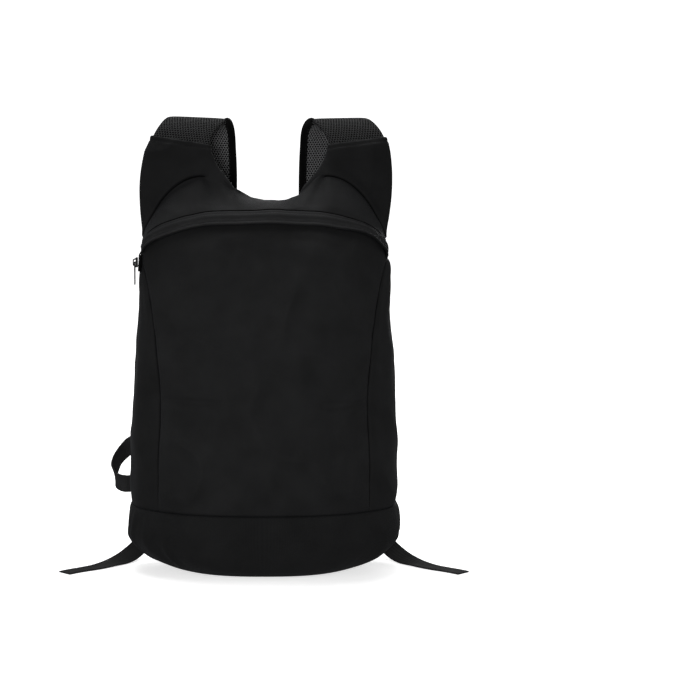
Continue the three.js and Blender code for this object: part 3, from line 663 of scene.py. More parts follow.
def boot(u, v):
    turn = (1 - u + BOOT_START) * 2 * np.pi
    c, s = np.cos(turn), np.sin(turn)
    power = np.where(s < 0, FRONT_POWER, BACK_POWER)
    wide, deep = rounded(c, 2 / power), rounded(s, 2 / power)
    flat_y = np.where(s < 0, FLAT_FRONT, FLAT_BACK)
    wall = smooth(v, 0, WALL_SHARE)
    bend = np.clip((v - WALL_SHARE) / ROUND_SHARE, 0, 1) * (np.pi / 2)
    rest = 1 - np.clip((v - WALL_SHARE - ROUND_SHARE) / (1 - WALL_SHARE - ROUND_SHARE), 0, 1)
    inward = 1 - np.maximum(np.cos(bend), 0) ** (2 / ROUND_POWER)

    def at(z):
        depth = np.where(s < 0, WIDEST_Y - front_middle(z), back_middle(z) - WIDEST_Y)
        return half_width(z) * wide, WIDEST_Y + depth * deep

    rim = rim_height(*at(np.full_like(u, RIM_SIDE)))
    rounding = ROUND_HEIGHT * (1 - np.sin(bend) ** (2 / ROUND_POWER))
    z = np.where(v < WALL_SHARE, lerp(rim, ROUND_HEIGHT, v / WALL_SHARE), rounding)
    x, y = at(np.maximum(z, PLAN_FROM))
    puff = 1 + BOOT_PUFF * lerp(RIM_PUFF, 1, np.sin(np.pi * np.minimum((wall + inward) / 2, 1)))
    x = x * lerp(1, FLAT_X, inward) * puff * rest
    y = WIDEST_Y + (y - WIDEST_Y) * lerp(1, flat_y, inward) * puff * rest
    return stack(x, y - MIDDLE_SHIFT * (1 - rest), np.maximum(z, 0))


def boot_relief(u, v, at):
    around, down = BOOT_FLAT[0] * u, BOOT_FLAT[1] * v
    c, s = np.cos(2 * np.pi * u), np.sin(2 * np.pi * u)
    broad, folds, fine = BOOT_LOOSE
    loose = broad * noise(3.2 * c + 7, 3.2 * s + down / 60 + 5, BOOT_SEED)
    loose = loose + folds * soft_ridge(noise(6 * c + 9, 6 * s + down / 45 + 9, BOOT_SEED + 1))
    loose = loose + fine * noise(22 * c + 30, 22 * s + down / 14 + 30, BOOT_SEED + 2)
    loose = loose + pucker(down, around, BOOT_SEED + 3, *BOOT_GATHERS)
    return loose * smooth(at[..., 2], 2, 22) * smooth(down, 0, 10) + welts(down, BOOT_ROLL)


def zip_base(s, v):
    """The band between the zip and the yoke: s runs along the arch from -1 to 1, v up the band."""
    turn = np.sin(s * np.pi / 2)
    low, high = turn * ZIP_SPAN, turn * BAND_SPAN
    start = stack(low, front_y(low, zip_height(low)), zip_height(low))
    end = stack(high, band_depth(np.abs(high)), band_height(high))
    return lerp(start, end, np.asarray(v)[..., None])


def zip_flap(u, v):
    s, share = lerp(*FLAP_RUN, u), lerp(*FLAP_RISE, v)
    out = FLAP_LIFT * (1 - smooth(share, 0.42, 1)) + FLAP_PUFF * np.sin(np.pi * smooth(share, 0.2, 1))
    out = out * (1 - 0.8 * smooth(s, 0.86, FLAP_RUN[1])) * (1 - 0.35 * smooth(-s, 0.82, -FLAP_RUN[0]))
    lean = stack(rounded(s, 5), -1 + 0.7 * np.abs(s) ** 5, 0.55)
    return zip_base(s, share) + unit(lean) * out[..., None]


def flap_relief(u, v, at):
    along = FLAP_FLAT[0] * u
    _, low, high = edges(FLAP_FLAT, u, v)
    wavy = FLAP_WAVY[0] * noise(along / 24, low / 30, FLAP_SEED)
    wavy = wavy + FLAP_WAVY[1] * noise(along / 9, low / 9, FLAP_SEED + 1)
    ends = smooth(np.minimum(u, 1 - u), 0, 0.02)
    return (welts(low, FLAP_HEM) + welts(high, FLAP_PIPING) + wavy) * ends


# Straps

def strap_edge(side, edge, crest):
    """The inner or outer edge of a strap as a curve."""
    x = side * STRAP[edge + "_x"] + (RIGHT_LEAN[edge] if side > 0 else 0)
    return curve(np.stack([x, STRAP[edge + "_y"], STRAP[edge + "_z"] + crest * CREST_LIFT], -1))


def strap_frame(row, side):
    """Middle point, inner-to-outer direction, front direction and width of a strap at row numbers."""
    inner, outer = strap_edge(side, "in", 1), strap_edge(side, "out", OUTER_CREST[side])

    def ends(at):
        return inner(at / LAST_ROW), outer(at / LAST_ROW)

    a, b = ends(row)
    onward = unit(sum(ends(row + ROW_STEP)) - sum(ends(row - ROW_STEP)))
    across = unit(b - a)
    front = unit(np.cross(onward, across)) * -side
    return (a + b) / 2, across, front, np.linalg.norm(b - a, axis=-1)


def wing_section(width, count):
    """Cross-section of a wing: flat in front, turned round both edges of the pad."""
    turn = np.linspace(-WING_WRAP * np.pi, (1 + WING_WRAP) * np.pi, 721)[::-1]
    x = (width / 2 + GAP + WING_SPARE) * rounded(np.cos(turn), 2 / WING_ROUND)
    y = WING_LIFT * rounded(np.sin(turn), 2 / WING_ROUND)
    return even(np.stack([x, y], -1), count, 0.5)


def wing(side):
    def surface(u, v):
        count = u.shape[1]
        share = np.linspace(0, 1, count)
        drop = stack(side * ROOT_DROP[0] * share, *ROOT_DROP[1:])
        points = np.empty(u.shape + (3,))
        for j, up in enumerate(v[:, 0]):
            place, across, front, width = strap_frame(up * lerp(*HEM_ROWS, share), side)
            outline = wing_section(width.mean(), count)
            crown = WING_CROWN * (1 - (2 * share - 1) ** 4) * smooth(up, 0.35, 0.8)
            root = 1 - smooth(up, 0, WING_ROOT)
            x = outline[:, 0] * (width / width.mean())
            lift = (outline[:, 1] + crown * (outline[:, 1] > 0)) * (1 - ROOT_THIN * root)
            points[j] = place + drop * root + across * x[:, None] + front * lift[:, None]
        return points if side > 0 else points[:, ::-1]

    return surface


def wing_relief(side):
    def relief(u, v, at):
        outer = u if side > 0 else 1 - u
        along = WING_FLAT[0] * u
        edge, run, hem = edges(WING_FLAT, u, v)
        calm = lerp(smooth(v, 0.5, 0.8), smooth(v, 0.2, 0.4), smooth(outer, 0.4, 0.6))
        inside = smooth(edge, 4, 22) * smooth(hem, 0, 12) * calm
        folds = wrinkles(along, run, WING_SEED + side, *WING_LOOSE) * inside
        across = np.abs(at[..., 0])
        above = at[..., 2] - yoke_top_z(across)
        brow = DART_BROW * bell(above, 10) * smooth(above, -1, 1) * smooth(across, 60, 74)
        hemmed = welts(hem, WING_HEM) * smooth(edge, 2, 8)
        return folds + brow * smooth(edge, 4, 14) + hemmed + pucker(hem, along, HEM_SEED + side, *HEM_GATHERS)

    return relief


def wing_front(side, share, row, sunk):
    """A point on the front face of a wing, by its share from the inner to the outer edge."""
    place, across, front, width = strap_frame(row, side)
    return place + across * ((share - 0.5) * width)[..., None] + front * (WING_LIFT - sunk)[..., None]


def yoke(u, v):
    s = 2 * u - 1
    w = v[..., None]
    high = np.sin(s * np.pi / 2) * YOKE_SPAN
    across = np.abs(high)
    foot = zip_base(s, FOOT_SHARE) + FOOT_TUCK
    head = stack(high, yoke_top_y(across), yoke_top_z(across) + neck_tilt(high))
    neck = lerp(foot, head, w) + NECK_FULL * np.sin(np.pi * w) * NECK_WAY
    corner = YOKE_CORNER + NECK_SHIFT * (high > 0)
    share = np.clip((across - corner) / (YOKE_CORNER + STRAP_ROOT - corner), 0, 1)
    hidden = smooth(across - corner, 0, 6)
    merge = (1 - smooth(across, DART_FROM, DART_TO))[..., None]
    ends = 1 - smooth(across, DART_FADE, YOKE_SPAN)
    dart = head + stack(0, DART_SINK * ends, 0)
    ramp = np.empty_like(neck)
    for side, half in ((-1, high < 0), (1, high >= 0)):
        bend = wing_front(side, share, np.full_like(share, LAP_ROWS[0]), 0 * share)
        lap = wing_front(side, share, lerp(LAP_START[side], LAP_ROWS[1], hidden), LAP_SINK * hidden)
        belly = head + stack(0, -DART_BELLY[side] * ends - 1, -DART_DROP[side] * ends - 2)
        bend, lap = lerp(belly, bend, merge), lerp(dart, lap, merge)
        path = (1 - w) ** 2 * foot + 2 * w * (1 - w) * bend + w * w * lap
        ramp = np.where(half[..., None], path, ramp)
    return lerp(neck, ramp, smooth(across - corner, *CORNER_BLEND)[..., None])


def yoke_relief(u, v, at):
    x = at[..., 0]
    _, run, top = edges(YOKE_FLAT, u, v)
    free = smooth(run, 0, 8) * smooth(top, 0, 10) * smooth(np.minimum(u, 1 - u), 0, 0.03)
    return wrinkles(x, run, YOKE_SEED, *YOKE_LOOSE) * free + pucker(run, x, YOKE_SEED + 1, *YOKE_GATHERS)


# Mesh building

def link(name, data):
    """A new object in the scene."""
    made = bpy.data.objects.new(name, data)
    bpy.context.scene.collection.objects.link(made)
    return made


def place_piece(piece, slot, *nodes, body=BODY_NAME):
    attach(piece, body)
    if nodes:
        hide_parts(*nodes)
    return piece


def make(name, points, faces, corners, material):
    """A mesh object from points in millimetres, four-sided faces and a flat coordinate for each corner."""
    mesh = bpy.data.meshes.new(name)
    mesh.vertices.add(len(points))
    mesh.vertices.foreach_set("co", (np.asarray(points) * MM).astype(np.float32).ravel())
    mesh.loops.add(faces.size)
    mesh.loops.foreach_set("vertex_index", faces.astype(np.int32).ravel())
    mesh.polygons.add(len(faces))
    mesh.polygons.foreach_set("loop_start", np.arange(0, faces.size, 4, dtype=np.int32))
    mesh.polygons.foreach_set("use_smooth", np.ones(len(faces), bool))
    flat = mesh.uv_layers.new(name="flat")
    flat.uv.foreach_set("vector", corners.astype(np.float32).ravel())
    mesh.update(calc_edges=True)
    mesh.validate()
    mesh.materials.append(material)
    return link(name, mesh)


def quads(rows, columns, ring=False):
    """Faces of a grid, and the grid place of each of their corners."""
    j, i = np.meshgrid(np.arange(rows), np.arange(columns), indexing="ij")
    corners = ((0, 0), (1, 0), (1, 1), (0, 1))
    places = np.stack([np.stack([i + a, j + b], -1) for a, b in corners], 2).reshape(-1, 4, 2)
    wide = columns if ring else columns + 1
    return places[..., 1] * wide + places[..., 0] % wide, places


def normals_of(grid, ring):
    """Normals of a grid of points; the last row of a ring is its middle and faces down."""
    along = np.roll(grid, -1, 1) - np.roll(grid, 1, 1) if ring else np.gradient(grid, axis=1)
    normal = unit(np.cross(along, np.gradient(grid, axis=0)))
    if ring:
        normal[-1] = (0, 0, -1)
    return normal


def mean_length(grid, axis):
    """Mean length of a grid's lines that run along an axis."""
    return np.linalg.norm(np.diff(grid, axis=axis), axis=-1).sum(axis).mean()


def stops(count, first, last):
    """Even shares from 0 to 1, with one more beside an end that turns in."""
    inside = np.linspace(EDGE_SHARE * first, 1 - EDGE_SHARE * last, count + 1 - first - last)
    return np.concatenate([[0.0] * first, inside, [1.0] * last])


def cloth(node, slot, surface, cells, wall, relief, material, turned="", ring=False):
    """A closed cloth wall that stands for a node: an outer face with relief, an inner one a wall behind.

    The edges in turned (l, r, b, t) are folded into the bag as a seam allowance. A ring closes on itself
    and comes together in its middle, on the floor. Gives the outer face's points and normals.
    """
    columns, rows = cells
    first, last, foot, top = (word in turned for word in "lrbt")
    u, v = np.meshgrid(stops(columns, first, last), stops(rows, foot, top))
    if ring:
        u, v = u[:, :-1], v[:, :-1]
    base = surface(u, v)
    plain = normals_of(base, ring)
    outer = base + plain * relief(u, v, base)[..., None]
    if ring:
        outer[..., 2] = np.maximum(outer[..., 2], 0)
    normal = normals_of(outer, ring)
    for word, edge in (("l", np.s_[:, 0]), ("r", np.s_[:, -1]), ("b", np.s_[0]), ("t", np.s_[-1])):
        if word in turned:
            normal[edge] = plain[edge]
            outer[edge] -= normal[edge] * ALLOWANCE
    inner = outer - normal * wall
    wide = u.shape[1]
    count = wide * (rows + 1)
    front, places = quads(rows, columns, ring)
    faces, flat = [front, front[:, ::-1] + count], [places, places[:, ::-1]]
    # Each open border as the grid places of its cells' ends
    i, j = np.arange(columns), np.arange(rows)
    borders = [(i, 0 * i, i + 1, 0 * i)]
    if not ring:
        borders.append((i + 1, 0 * i + rows, i, 0 * i + rows))
        borders.append((0 * j, j + 1, 0 * j, j))
        borders.append((0 * j + columns, j, 0 * j + columns, j + 1))
    for border in borders:
        a, b = np.stack(border[:2], -1), np.stack(border[2:], -1)
        p, q = (end[:, 1] * wide + end[:, 0] % wide for end in (a, b))
        faces.append(np.stack([p, p + count, q + count, q], -1))
        flat.append(np.stack([a, a, b, b], 1))
    across, up = mean_length(base, 1) / columns, mean_length(base, 0) / rows
    points = np.concatenate([outer.reshape(-1, 3), inner.reshape(-1, 3)])
    corners = np.concatenate(flat).reshape(-1, 2) * (across, up)
    piece = make(node + "_cloth", points, np.concatenate(faces), corners, material)
    if ring:
        weld(piece)
    as_sheet(place_piece(piece, slot, node))
    return outer, normal


def weld(piece):
    """Joins points that coincide, such as the middle of a ring."""
    shape = bmesh.new()
    shape.from_mesh(piece.data)
    bmesh.ops.remove_doubles(shape, verts=shape.verts, dist=1e-6)
    bmesh.ops.dissolve_degenerate(shape, edges=shape.edges, dist=1e-6)
    shape.to_mesh(piece.data)
    shape.free()


def as_sheet(piece):
    """Reads the face areas and flat coordinates of a cloth piece's two faces, and keeps neither."""
    mesh = piece.data
    area = np.empty(len(mesh.polygons), np.float32)
    mesh.polygons.foreach_get("area", area)
    flat = np.empty(len(mesh.loops) * 2, np.float32)
    mesh.uv_layers["flat"].uv.foreach_get("vector", flat)


def winds_outward(rings):
    """Whether a loft through rings has its faces pointing outwards."""
    middle = rings.mean(1)
    a, b = rings[0, 0] - middle[0], rings[0, rings.shape[1] // 4] - middle[0]
    return np.dot(np.cross(a, b), middle[1] - middle[0]) > 0


def orient(rings):
    return rings if winds_outward(rings) else rings[:, ::-1]


def loft(name, rings, material, flat=None):
    """A closed solid through like rings, capped at both ends by strips across the ring."""
    count, sides = rings.shape[:2]
    faces, places = quads(count - 1, sides, True)
    half = np.arange(sides // 2 - 1)
    start = np.stack([half, half + 1, sides - 2 - half, sides - 1 - half], -1)
    end = start[:, ::-1] + (count - 1) * sides
    around = np.linalg.norm(rings - np.roll(rings, -1, 1), axis=-1).sum(1).mean() / sides
    onward = mean_length(rings, 0) / (count - 1)
    wall = places * (around, onward) if flat is None else flat[places[..., 1], places[..., 0]]
    corners = np.concatenate([wall, np.zeros((2 * len(half), 4, 2))]).reshape(-1, 2)
    return make(name, rings.reshape(-1, 3), np.concatenate([faces, start, end]), corners, material)


def swept(place, across, face, outline):
    """A section, or one for each stop, set into the frames along a line."""
    return place[:, None] + across[:, None] * outline[..., :1] + face[:, None] * outline[..., 1:]


def tube(path, side, up, radius, sides):
    """Round rings along a path, of one radius or one for each stop."""
    turn = np.arange(sides) * 2 * np.pi / sides
    spoke = np.cos(turn)[:, None] * side[..., None, :] + np.sin(turn)[:, None] * up[..., None, :]
    return path[..., None, :] + spoke * np.asarray(radius)[..., None, None]


STRIP_RIBS = 6
RIB_RELIEF = 0.14


def flat_outline(width, wall):
    """A flat ribbed strip's section with rounded edges, as an even number of points in pairs."""
    w, h = width / 2, wall / 2
    turn = np.linspace(-np.pi / 2, np.pi / 2, 5)[1:-1]
    share = np.linspace(0, 1, 25)
    rib = RIB_RELIEF * np.sin(np.pi * STRIP_RIBS * share) ** 2 - RIB_RELIEF
    low = np.stack([lerp(-w + h, w - h, share), rib - h], -1)
    right = np.stack([w - h + h * np.cos(turn), h * np.sin(turn)], -1)
    return np.concatenate([low, right, -low, -right])


def strip_frames(rows, count):
    """Even stops along a webbing's middle line: place, width direction, face direction; and its length."""
    line = curve(np.stack([rows["x"], rows["y"], rows["z"]], -1))
    wide = curve(np.stack([rows["wide_x"], rows["wide_y"], rows["wide_z"]], -1))
    t = np.linspace(0, 1, 20 * count)
    reach = reach_of(line(t))
    t = np.interp(np.linspace(0, reach[-1], count), reach, t)
    onward = unit(line(np.minimum(t + 1e-4, 1)) - line(np.maximum(t - 1e-4, 0)))
    across = wide(t)
    across = unit(across - onward * (across * onward).sum(-1, keepdims=True))
    return line(t), across, unit(np.cross(onward, across)), reach[-1]


def strip(name, rows, width, wall, count, material, *nodes):
    """Webbing along a table of middle points and width directions; gives the piece and its length."""
    *frames, length = strip_frames(rows, count)
    rings = swept(*frames, flat_outline(width, wall))
    return place_piece(loft(name, orient(rings), material), "black_tape", *nodes), length


def web_rows(at, wide):
    """Middle points and width directions as a webbing's table."""
    return dict(zip(WEB_COLUMNS.split(), np.hstack([at, wide]).T))


def mirrored(rows):
    return {name: -values if name in ("x", "wide_x") else values for name, values in rows.items()}


# Thread of a stitch: its rings and their sides, and how far it sinks into the cloth
STITCH_RINGS = 7
STITCH_SIDES = 6
STITCH_CAP = np.array([[0, 1, 4, 5], [1, 2, 3, 4]])
THREAD_SINK = 0.1
THREAD_PITCH = 0.4


def sew(name, path, normal, pitch=3.2, length=2.2, radius=0.32):
    """A row of thread stitches lying along a path of points with outward normals."""
    reach = reach_of(path)
    middle = np.arange(pitch / 2, reach[-1], pitch)
    share = np.linspace(-0.5, 0.5, STITCH_RINGS)
    bulge = np.sqrt(np.maximum(1 - (2 * share) ** 4, 0.05))
    t = middle[:, None] + share * length
    at = read_line(t, reach, path)
    up = unit(read_line(t, reach, normal))
    side = unit(np.cross(unit(np.gradient(at, axis=1)), up))
    rise = radius * (0.9 * bulge - 0.35) - THREAD_SINK
    rings = tube(at + up * rise[:, None], side, up, radius * bulge, STITCH_SIDES)
    faces, places = quads(STITCH_RINGS - 1, STITCH_SIDES, True)
    last = STITCH_SIDES * (STITCH_RINGS - 1)
    one = np.concatenate([faces[:, ::-1], STITCH_CAP, STITCH_CAP[:, ::-1] + last])
    every = one + (last + STITCH_SIDES) * np.arange(len(middle))[:, None, None]
    corners = np.concatenate([places[:, ::-1], np.zeros((4, 4, 2))]).reshape(-1, 2) * THREAD_PITCH
    corners = np.tile(corners, (len(middle), 1))
    place_piece(make(name, rings.reshape(-1, 3), every.reshape(-1, 4), corners, THREAD), "black_tape")


# Materials: painted shade, how far it deepens a cloth's colour, and between which distances in millimetres
COVER_PAINTED_SHADE = 0.6
COVER_OUTSIDE = (60.0, 84.0)
COVER_ALONG = (62.0, 100.0)
NECK_PAINTED_SHADE = 0.78
NECK_BESIDE = (18.0, 62.0)
FLAP_PAINTED_SHADE = 0.5
FLAP_BESIDE = (40.0, 112.0)
FRONT_PAINTED_SHADOW = 0.7
FRONT_ALONG = (262.0, 306.0)

# Cloth: features to a metre of its slubs, dye and gloss, and how far slubs and threads show
SLUB_GRAIN = 420
SLUB_HEIGHT = 1.6
DYE_GRAIN = 26
WEAVE_TINT = 0.16
GLOSS_GRAIN = 60
SHEEN_ROUGHNESS = 0.45
SHEEN_TINT = (0.8, 0.85, 0.95)


class Look:
    """A principled material, with short ways to add nodes to it."""

    def __init__(self, name):
        self.material = bpy.data.materials.new(name)
        self.material.use_nodes = True
        self.nodes = self.material.node_tree.nodes
        self.links = self.material.node_tree.links
        self.nodes.clear()
        output = self.nodes.new("ShaderNodeOutputMaterial")
        self.shader = self.nodes.new("ShaderNodeBsdfPrincipled")
        self.links.new(self.shader.outputs[0], output.inputs[0])

    def feed(self, node, values):
        """Joins sockets to a node's inputs or sets their values; a colour is made opaque."""
        for key, value in values.items():
            if isinstance(value, bpy.types.NodeSocket):
                self.links.new(value, node.inputs[key])
            else:
                node.inputs[key].default_value = (*value, 1) if isinstance(value, tuple) else value

    def dress(self, values):
        """Feeds the shader and gives the finished material."""
        self.feed(self.shader, values)
        return self.material

    def calc(self, operation, *values):
        made = self.nodes.new("ShaderNodeMath")
        made.operation = operation
        self.feed(made, dict(enumerate(values)))
        return made.outputs[0]

    def place(self):
        """The object's own coordinates, in metres."""
        return self.nodes.new("ShaderNodeTexCoord").outputs["Object"]

    def split(self, vector):
        made = self.nodes.new("ShaderNodeSeparateXYZ")
        self.links.new(vector, made.inputs[0])
        return made.outputs

    def flat(self):
        """The cloth's own flat coordinates, in millimetres."""
        made = self.nodes.new("ShaderNodeUVMap")
        made.uv_map = "flat"
        return self.split(made.outputs[0])[:2]

    def mottle(self, scale, detail=3.0):
        """Noise over the object's own place, from 0 to 1; the scale is features to a metre."""
        made = self.nodes.new("ShaderNodeTexNoise")
        self.feed(made, {"Vector": self.place(), "Scale": scale, "Detail": detail})
        return made.outputs[0]

    def spread(self, value, low, high):
        """A 0 to 1 value spread over a range."""
        return self.calc("MULTIPLY_ADD", value, high - low, low)

    def mix(self, share, a, b, blend="MIX"):
        """A colour between two, or one multiplied by another, by a share."""
        made = self.nodes.new("ShaderNodeMix")
        made.data_type = "RGBA"
        made.blend_type = blend
        self.feed(made, {"Factor": share, "A": a, "B": b})
        return made.outputs["Result"]

    def bump(self, height, depth):
        made = self.nodes.new("ShaderNodeBump")
        self.feed(made, {"Height": height, "Distance": depth * MM, "Strength": 1.0})
        self.links.new(made.outputs[0], self.shader.inputs["Normal"])

    def wave(self, place, period):
        return self.calc("SINE", self.calc("MULTIPLY", place, 2 * math.pi / period))

    def step(self, value, low, high):
        """A smooth step from 0 to 1 of a value between two stops."""
        made = self.nodes.new("ShaderNodeMapRange")
        made.interpolation_type = "SMOOTHSTEP"
        self.feed(made, {"Value": value, "From Min": low, "From Max": high})
        return made.outputs[0]

    def beside(self, low, high):
        """A smooth step over the distance from the pack's middle plane."""
        away = self.calc("ABSOLUTE", self.split(self.place())[0])
        return self.step(away, low * MM, high * MM)


def cover_painted_shade(look, along):
    """Painted shade darkens a strap cover outside the dart and towards its hem."""
    return look.calc("MAXIMUM", look.beside(*COVER_OUTSIDE), look.step(along, *COVER_ALONG)), COVER_PAINTED_SHADE


def yoke_painted_shade(look, along):
    """Painted shade darkens the yoke towards the neckline."""
    return look.calc("SUBTRACT", 1.0, look.beside(*NECK_BESIDE)), NECK_PAINTED_SHADE


def flap_painted_shade(look, along):
    """Painted shade darkens the zip flap towards its ends."""
    return look.beside(*FLAP_BESIDE), FLAP_PAINTED_SHADE


def front_painted_shadow(look, along):
    """Painted shadow darkens the front panel under the zip flap."""
    return look.step(along, *FRONT_ALONG), FRONT_PAINTED_SHADOW


def woven(name, dark, light, period, depth, rough, sheen, twill=0.0, painted_shade=None, specular=0.1):
    """Plain or twill weave with a soft sheen and uneven dye, and painted shade where one is given."""
    look = Look(name)
    a, b = look.flat()
    if twill:
        a = look.calc("MULTIPLY_ADD", b, twill, a)
    weave = look.calc("MULTIPLY", look.wave(a, period), look.wave(b, period))
    look.bump(look.calc("MULTIPLY_ADD", look.mottle(SLUB_GRAIN, 4), SLUB_HEIGHT, weave), depth)
    thread = look.calc("MULTIPLY_ADD", weave, WEAVE_TINT, look.mottle(DYE_GRAIN, 5))
    colour = look.mix(thread, dark, light)
    if painted_shade:
        share, amount = painted_shade(look, b)
        colour = look.mix(share, colour, (amount, amount, amount), "MULTIPLY")
    return look.dress({
        "Base Color": colour,
        "Roughness": look.spread(look.mottle(GLOSS_GRAIN), rough - 0.1, rough + 0.1),
        "Specular IOR Level": specular,
        "Sheen Weight": sheen,
        "Sheen Roughness": SHEEN_ROUGHNESS,
        "Sheen Tint": SHEEN_TINT,
    })


def spacer_mesh(name, hole_shade, thread, lining):
    """Knitted spacer mesh: rows of round holes set in hexagons and painted near-black as shade, with lighter
    threads on its lining as painted light.
    """
    look = Look(name)
    a, b = look.flat()
    # The lining's threads are painted lighter, as painted light
    inner = look.calc("GREATER_THAN", a, LINING_SHIFT / 2)
    a = look.calc("MULTIPLY", a, 1 / KNIT_PITCH)
    b = look.calc("MULTIPLY", b, 1 / (KNIT_PITCH * ROOT_3))

    def distance(shift):
        cells = (look.calc("FRACT", look.calc("ADD", place, shift)) for place in (a, b))
        x, y = (look.calc("SUBTRACT", cell, 0.5) for cell in cells)
        y = look.calc("MULTIPLY", y, ROOT_3)
        return look.calc("ADD", look.calc("MULTIPLY", x, x), look.calc("MULTIPLY", y, y))

    nearest = look.calc("MINIMUM", distance(0.0), distance(0.5))
    lattice = look.step(nearest, *(edge**2 for edge in KNIT_EDGE))
    look.bump(look.calc("MULTIPLY_ADD", look.mottle(900), 0.3, lattice), 0.8)
    return look.dress({
        "Base Color": look.mix(lattice, hole_shade, look.mix(inner, thread, lining)),
        "Roughness": look.spread(lattice, 0.95, 0.5),
        "Specular IOR Level": 0.06,
    })


def ribbed(name, dark, light, across, along, depth, rough):
    """Webbing or binding tape: ribs along it crossed by picks."""
    look = Look(name)
    a, b = look.flat()
    ribs = look.wave(a, across)
    picks = look.wave(look.calc("MULTIPLY_ADD", ribs, along * 0.25, b), along)
    height = look.calc("MULTIPLY_ADD", ribs, 0.6, picks)
    look.bump(look.calc("MULTIPLY_ADD", look.mottle(500), 0.8, height), depth)
    return look.dress({
        "Base Color": look.mix(look.calc("MULTIPLY_ADD", picks, 0.3, look.mottle(40)), dark, light),
        "Roughness": look.spread(look.mottle(90), rough - 0.1, rough + 0.1),
        "Specular IOR Level": 0.05,
        "Sheen Weight": 0.01,
    })


def hard(name, dark, light, metallic, rough, grain, depth, specular=0.5):
    """Moulded plastic or plated metal with fine marks."""
    look = Look(name)
    marks = look.mottle(grain, 5)
    look.bump(marks, depth)
    return look.dress({
        "Base Color": look.mix(marks, dark, light),
        "Roughness": look.spread(look.mottle(grain / 3), rough - 0.1, rough + 0.12),
        "Metallic": metallic,
        "Specular IOR Level": specular,
    })


SHELL_DYE = ((0.0056, 0.0057, 0.0059), (0.0148, 0.015, 0.0156))
# Side panels take a darker copy of the shell's dye: its uneven tone is the cloth's, its overall darkness
# painted shade
SIDE_DYE_AND_PAINTED_SHADE = ((0.0044, 0.0045, 0.0047), (0.012, 0.0122, 0.0127))
# The zip flap takes a lighter copy of the shell's dye: its uneven tone is the cloth's, its overall lightness
# painted light
FLAP_DYE_AND_PAINTED_LIGHT = ((0.009, 0.0091, 0.0095), (0.0155, 0.0157, 0.0162))
BOOT_DYE = ((0.0052, 0.0053, 0.0055), (0.0126, 0.0128, 0.0132))
WEAVE = (0.9, 0.05)
CLOTH = woven("shell_cloth", *SHELL_DYE, *WEAVE, 0.7, 0.02)
SIDE_CLOTH_PAINTED_SHADE = woven("side_cloth_painted_shade", *SIDE_DYE_AND_PAINTED_SHADE, *WEAVE, 0.72, 0.018)
# Strap covers: painted shade outside the darts and towards the hems
COVER_CLOTH_PAINTED_SHADE = woven("strap_cover_cloth_painted_shade", *SHELL_DYE, *WEAVE, 0.7, 0.02, painted_shade=cover_painted_shade)
# Front panel: painted shadow under the zip flap
FRONT_CLOTH_PAINTED_SHADOW = woven("front_cloth_painted_shadow", *SHELL_DYE, *WEAVE, 0.7, 0.02, painted_shade=front_painted_shadow)
# Yoke: painted shade towards the neckline
YOKE_CLOTH_PAINTED_SHADE = woven("yoke_cloth", *SHELL_DYE, *WEAVE, 0.72, 0.016, painted_shade=yoke_painted_shade, specular=0.08)
# Zip flap: painted light from its lighter dye, painted shade towards its ends
FLAP_CLOTH_PAINTED_LIGHT_AND_SHADE = woven("flap_cloth_painted_light_and_shade", *FLAP_DYE_AND_PAINTED_LIGHT, *WEAVE, 0.75, 0.016, painted_shade=flap_painted_shade, specular=0.08)
BOOT_CLOTH = woven("boot_cloth", *BOOT_DYE, 1.1, 0.07, 0.75, 0.015, twill=1.0)
# Spacer mesh: near-black holes are painted shade, the lighter lining threads painted light
MESH = spacer_mesh("strap_mesh", (0.002, 0.002, 0.0021), (0.041, 0.0415, 0.042), (0.132, 0.133, 0.135))
WEB = ribbed("webbing_tape", (0.0075, 0.0075, 0.0078), (0.0185, 0.0185, 0.019), 3.2, 1.3, 0.12, 0.7)
# The side loop's webbing is a lighter copy of the other webbing, as painted light
LOOP_WEB_PAINTED_LIGHT = ribbed("loop_tape_painted_light", (0.009, 0.009, 0.0094), (0.032, 0.032, 0.033), 3.2, 2.2, 0.2, 0.65)
# The binding's near-black also draws the crease cords as painted shadow
BINDING_AND_SHADOW_CORD = ribbed("binding_tape_and_shadow_cord", (0.001, 0.001, 0.001), (0.0022, 0.0022, 0.0023), 0.9, 0.8, 0.05, 0.85)
THREAD = ribbed("thread", (0.008, 0.008, 0.0085), (0.016, 0.016, 0.017), 0.5, 0.5, 0.05, 0.6)
COIL = hard("zip_coil", (0.008, 0.008, 0.008), (0.018, 0.018, 0.018), 0.0, 0.38, 300, 0.01)
PLASTIC = hard("buckle_plastic", (0.008, 0.008, 0.0085), (0.016, 0.016, 0.017), 0.0, 0.42, 700, 0.02)
DARK_METAL = hard("slider_metal", (0.006, 0.006, 0.0063), (0.014, 0.014, 0.0145), 0.0, 0.6, 400, 0.01, 0.15)
NICKEL = hard("pull_metal", (0.016, 0.016, 0.0165), (0.04, 0.04, 0.041), 0.3, 0.55, 400, 0.008, 0.15)


# Pieces

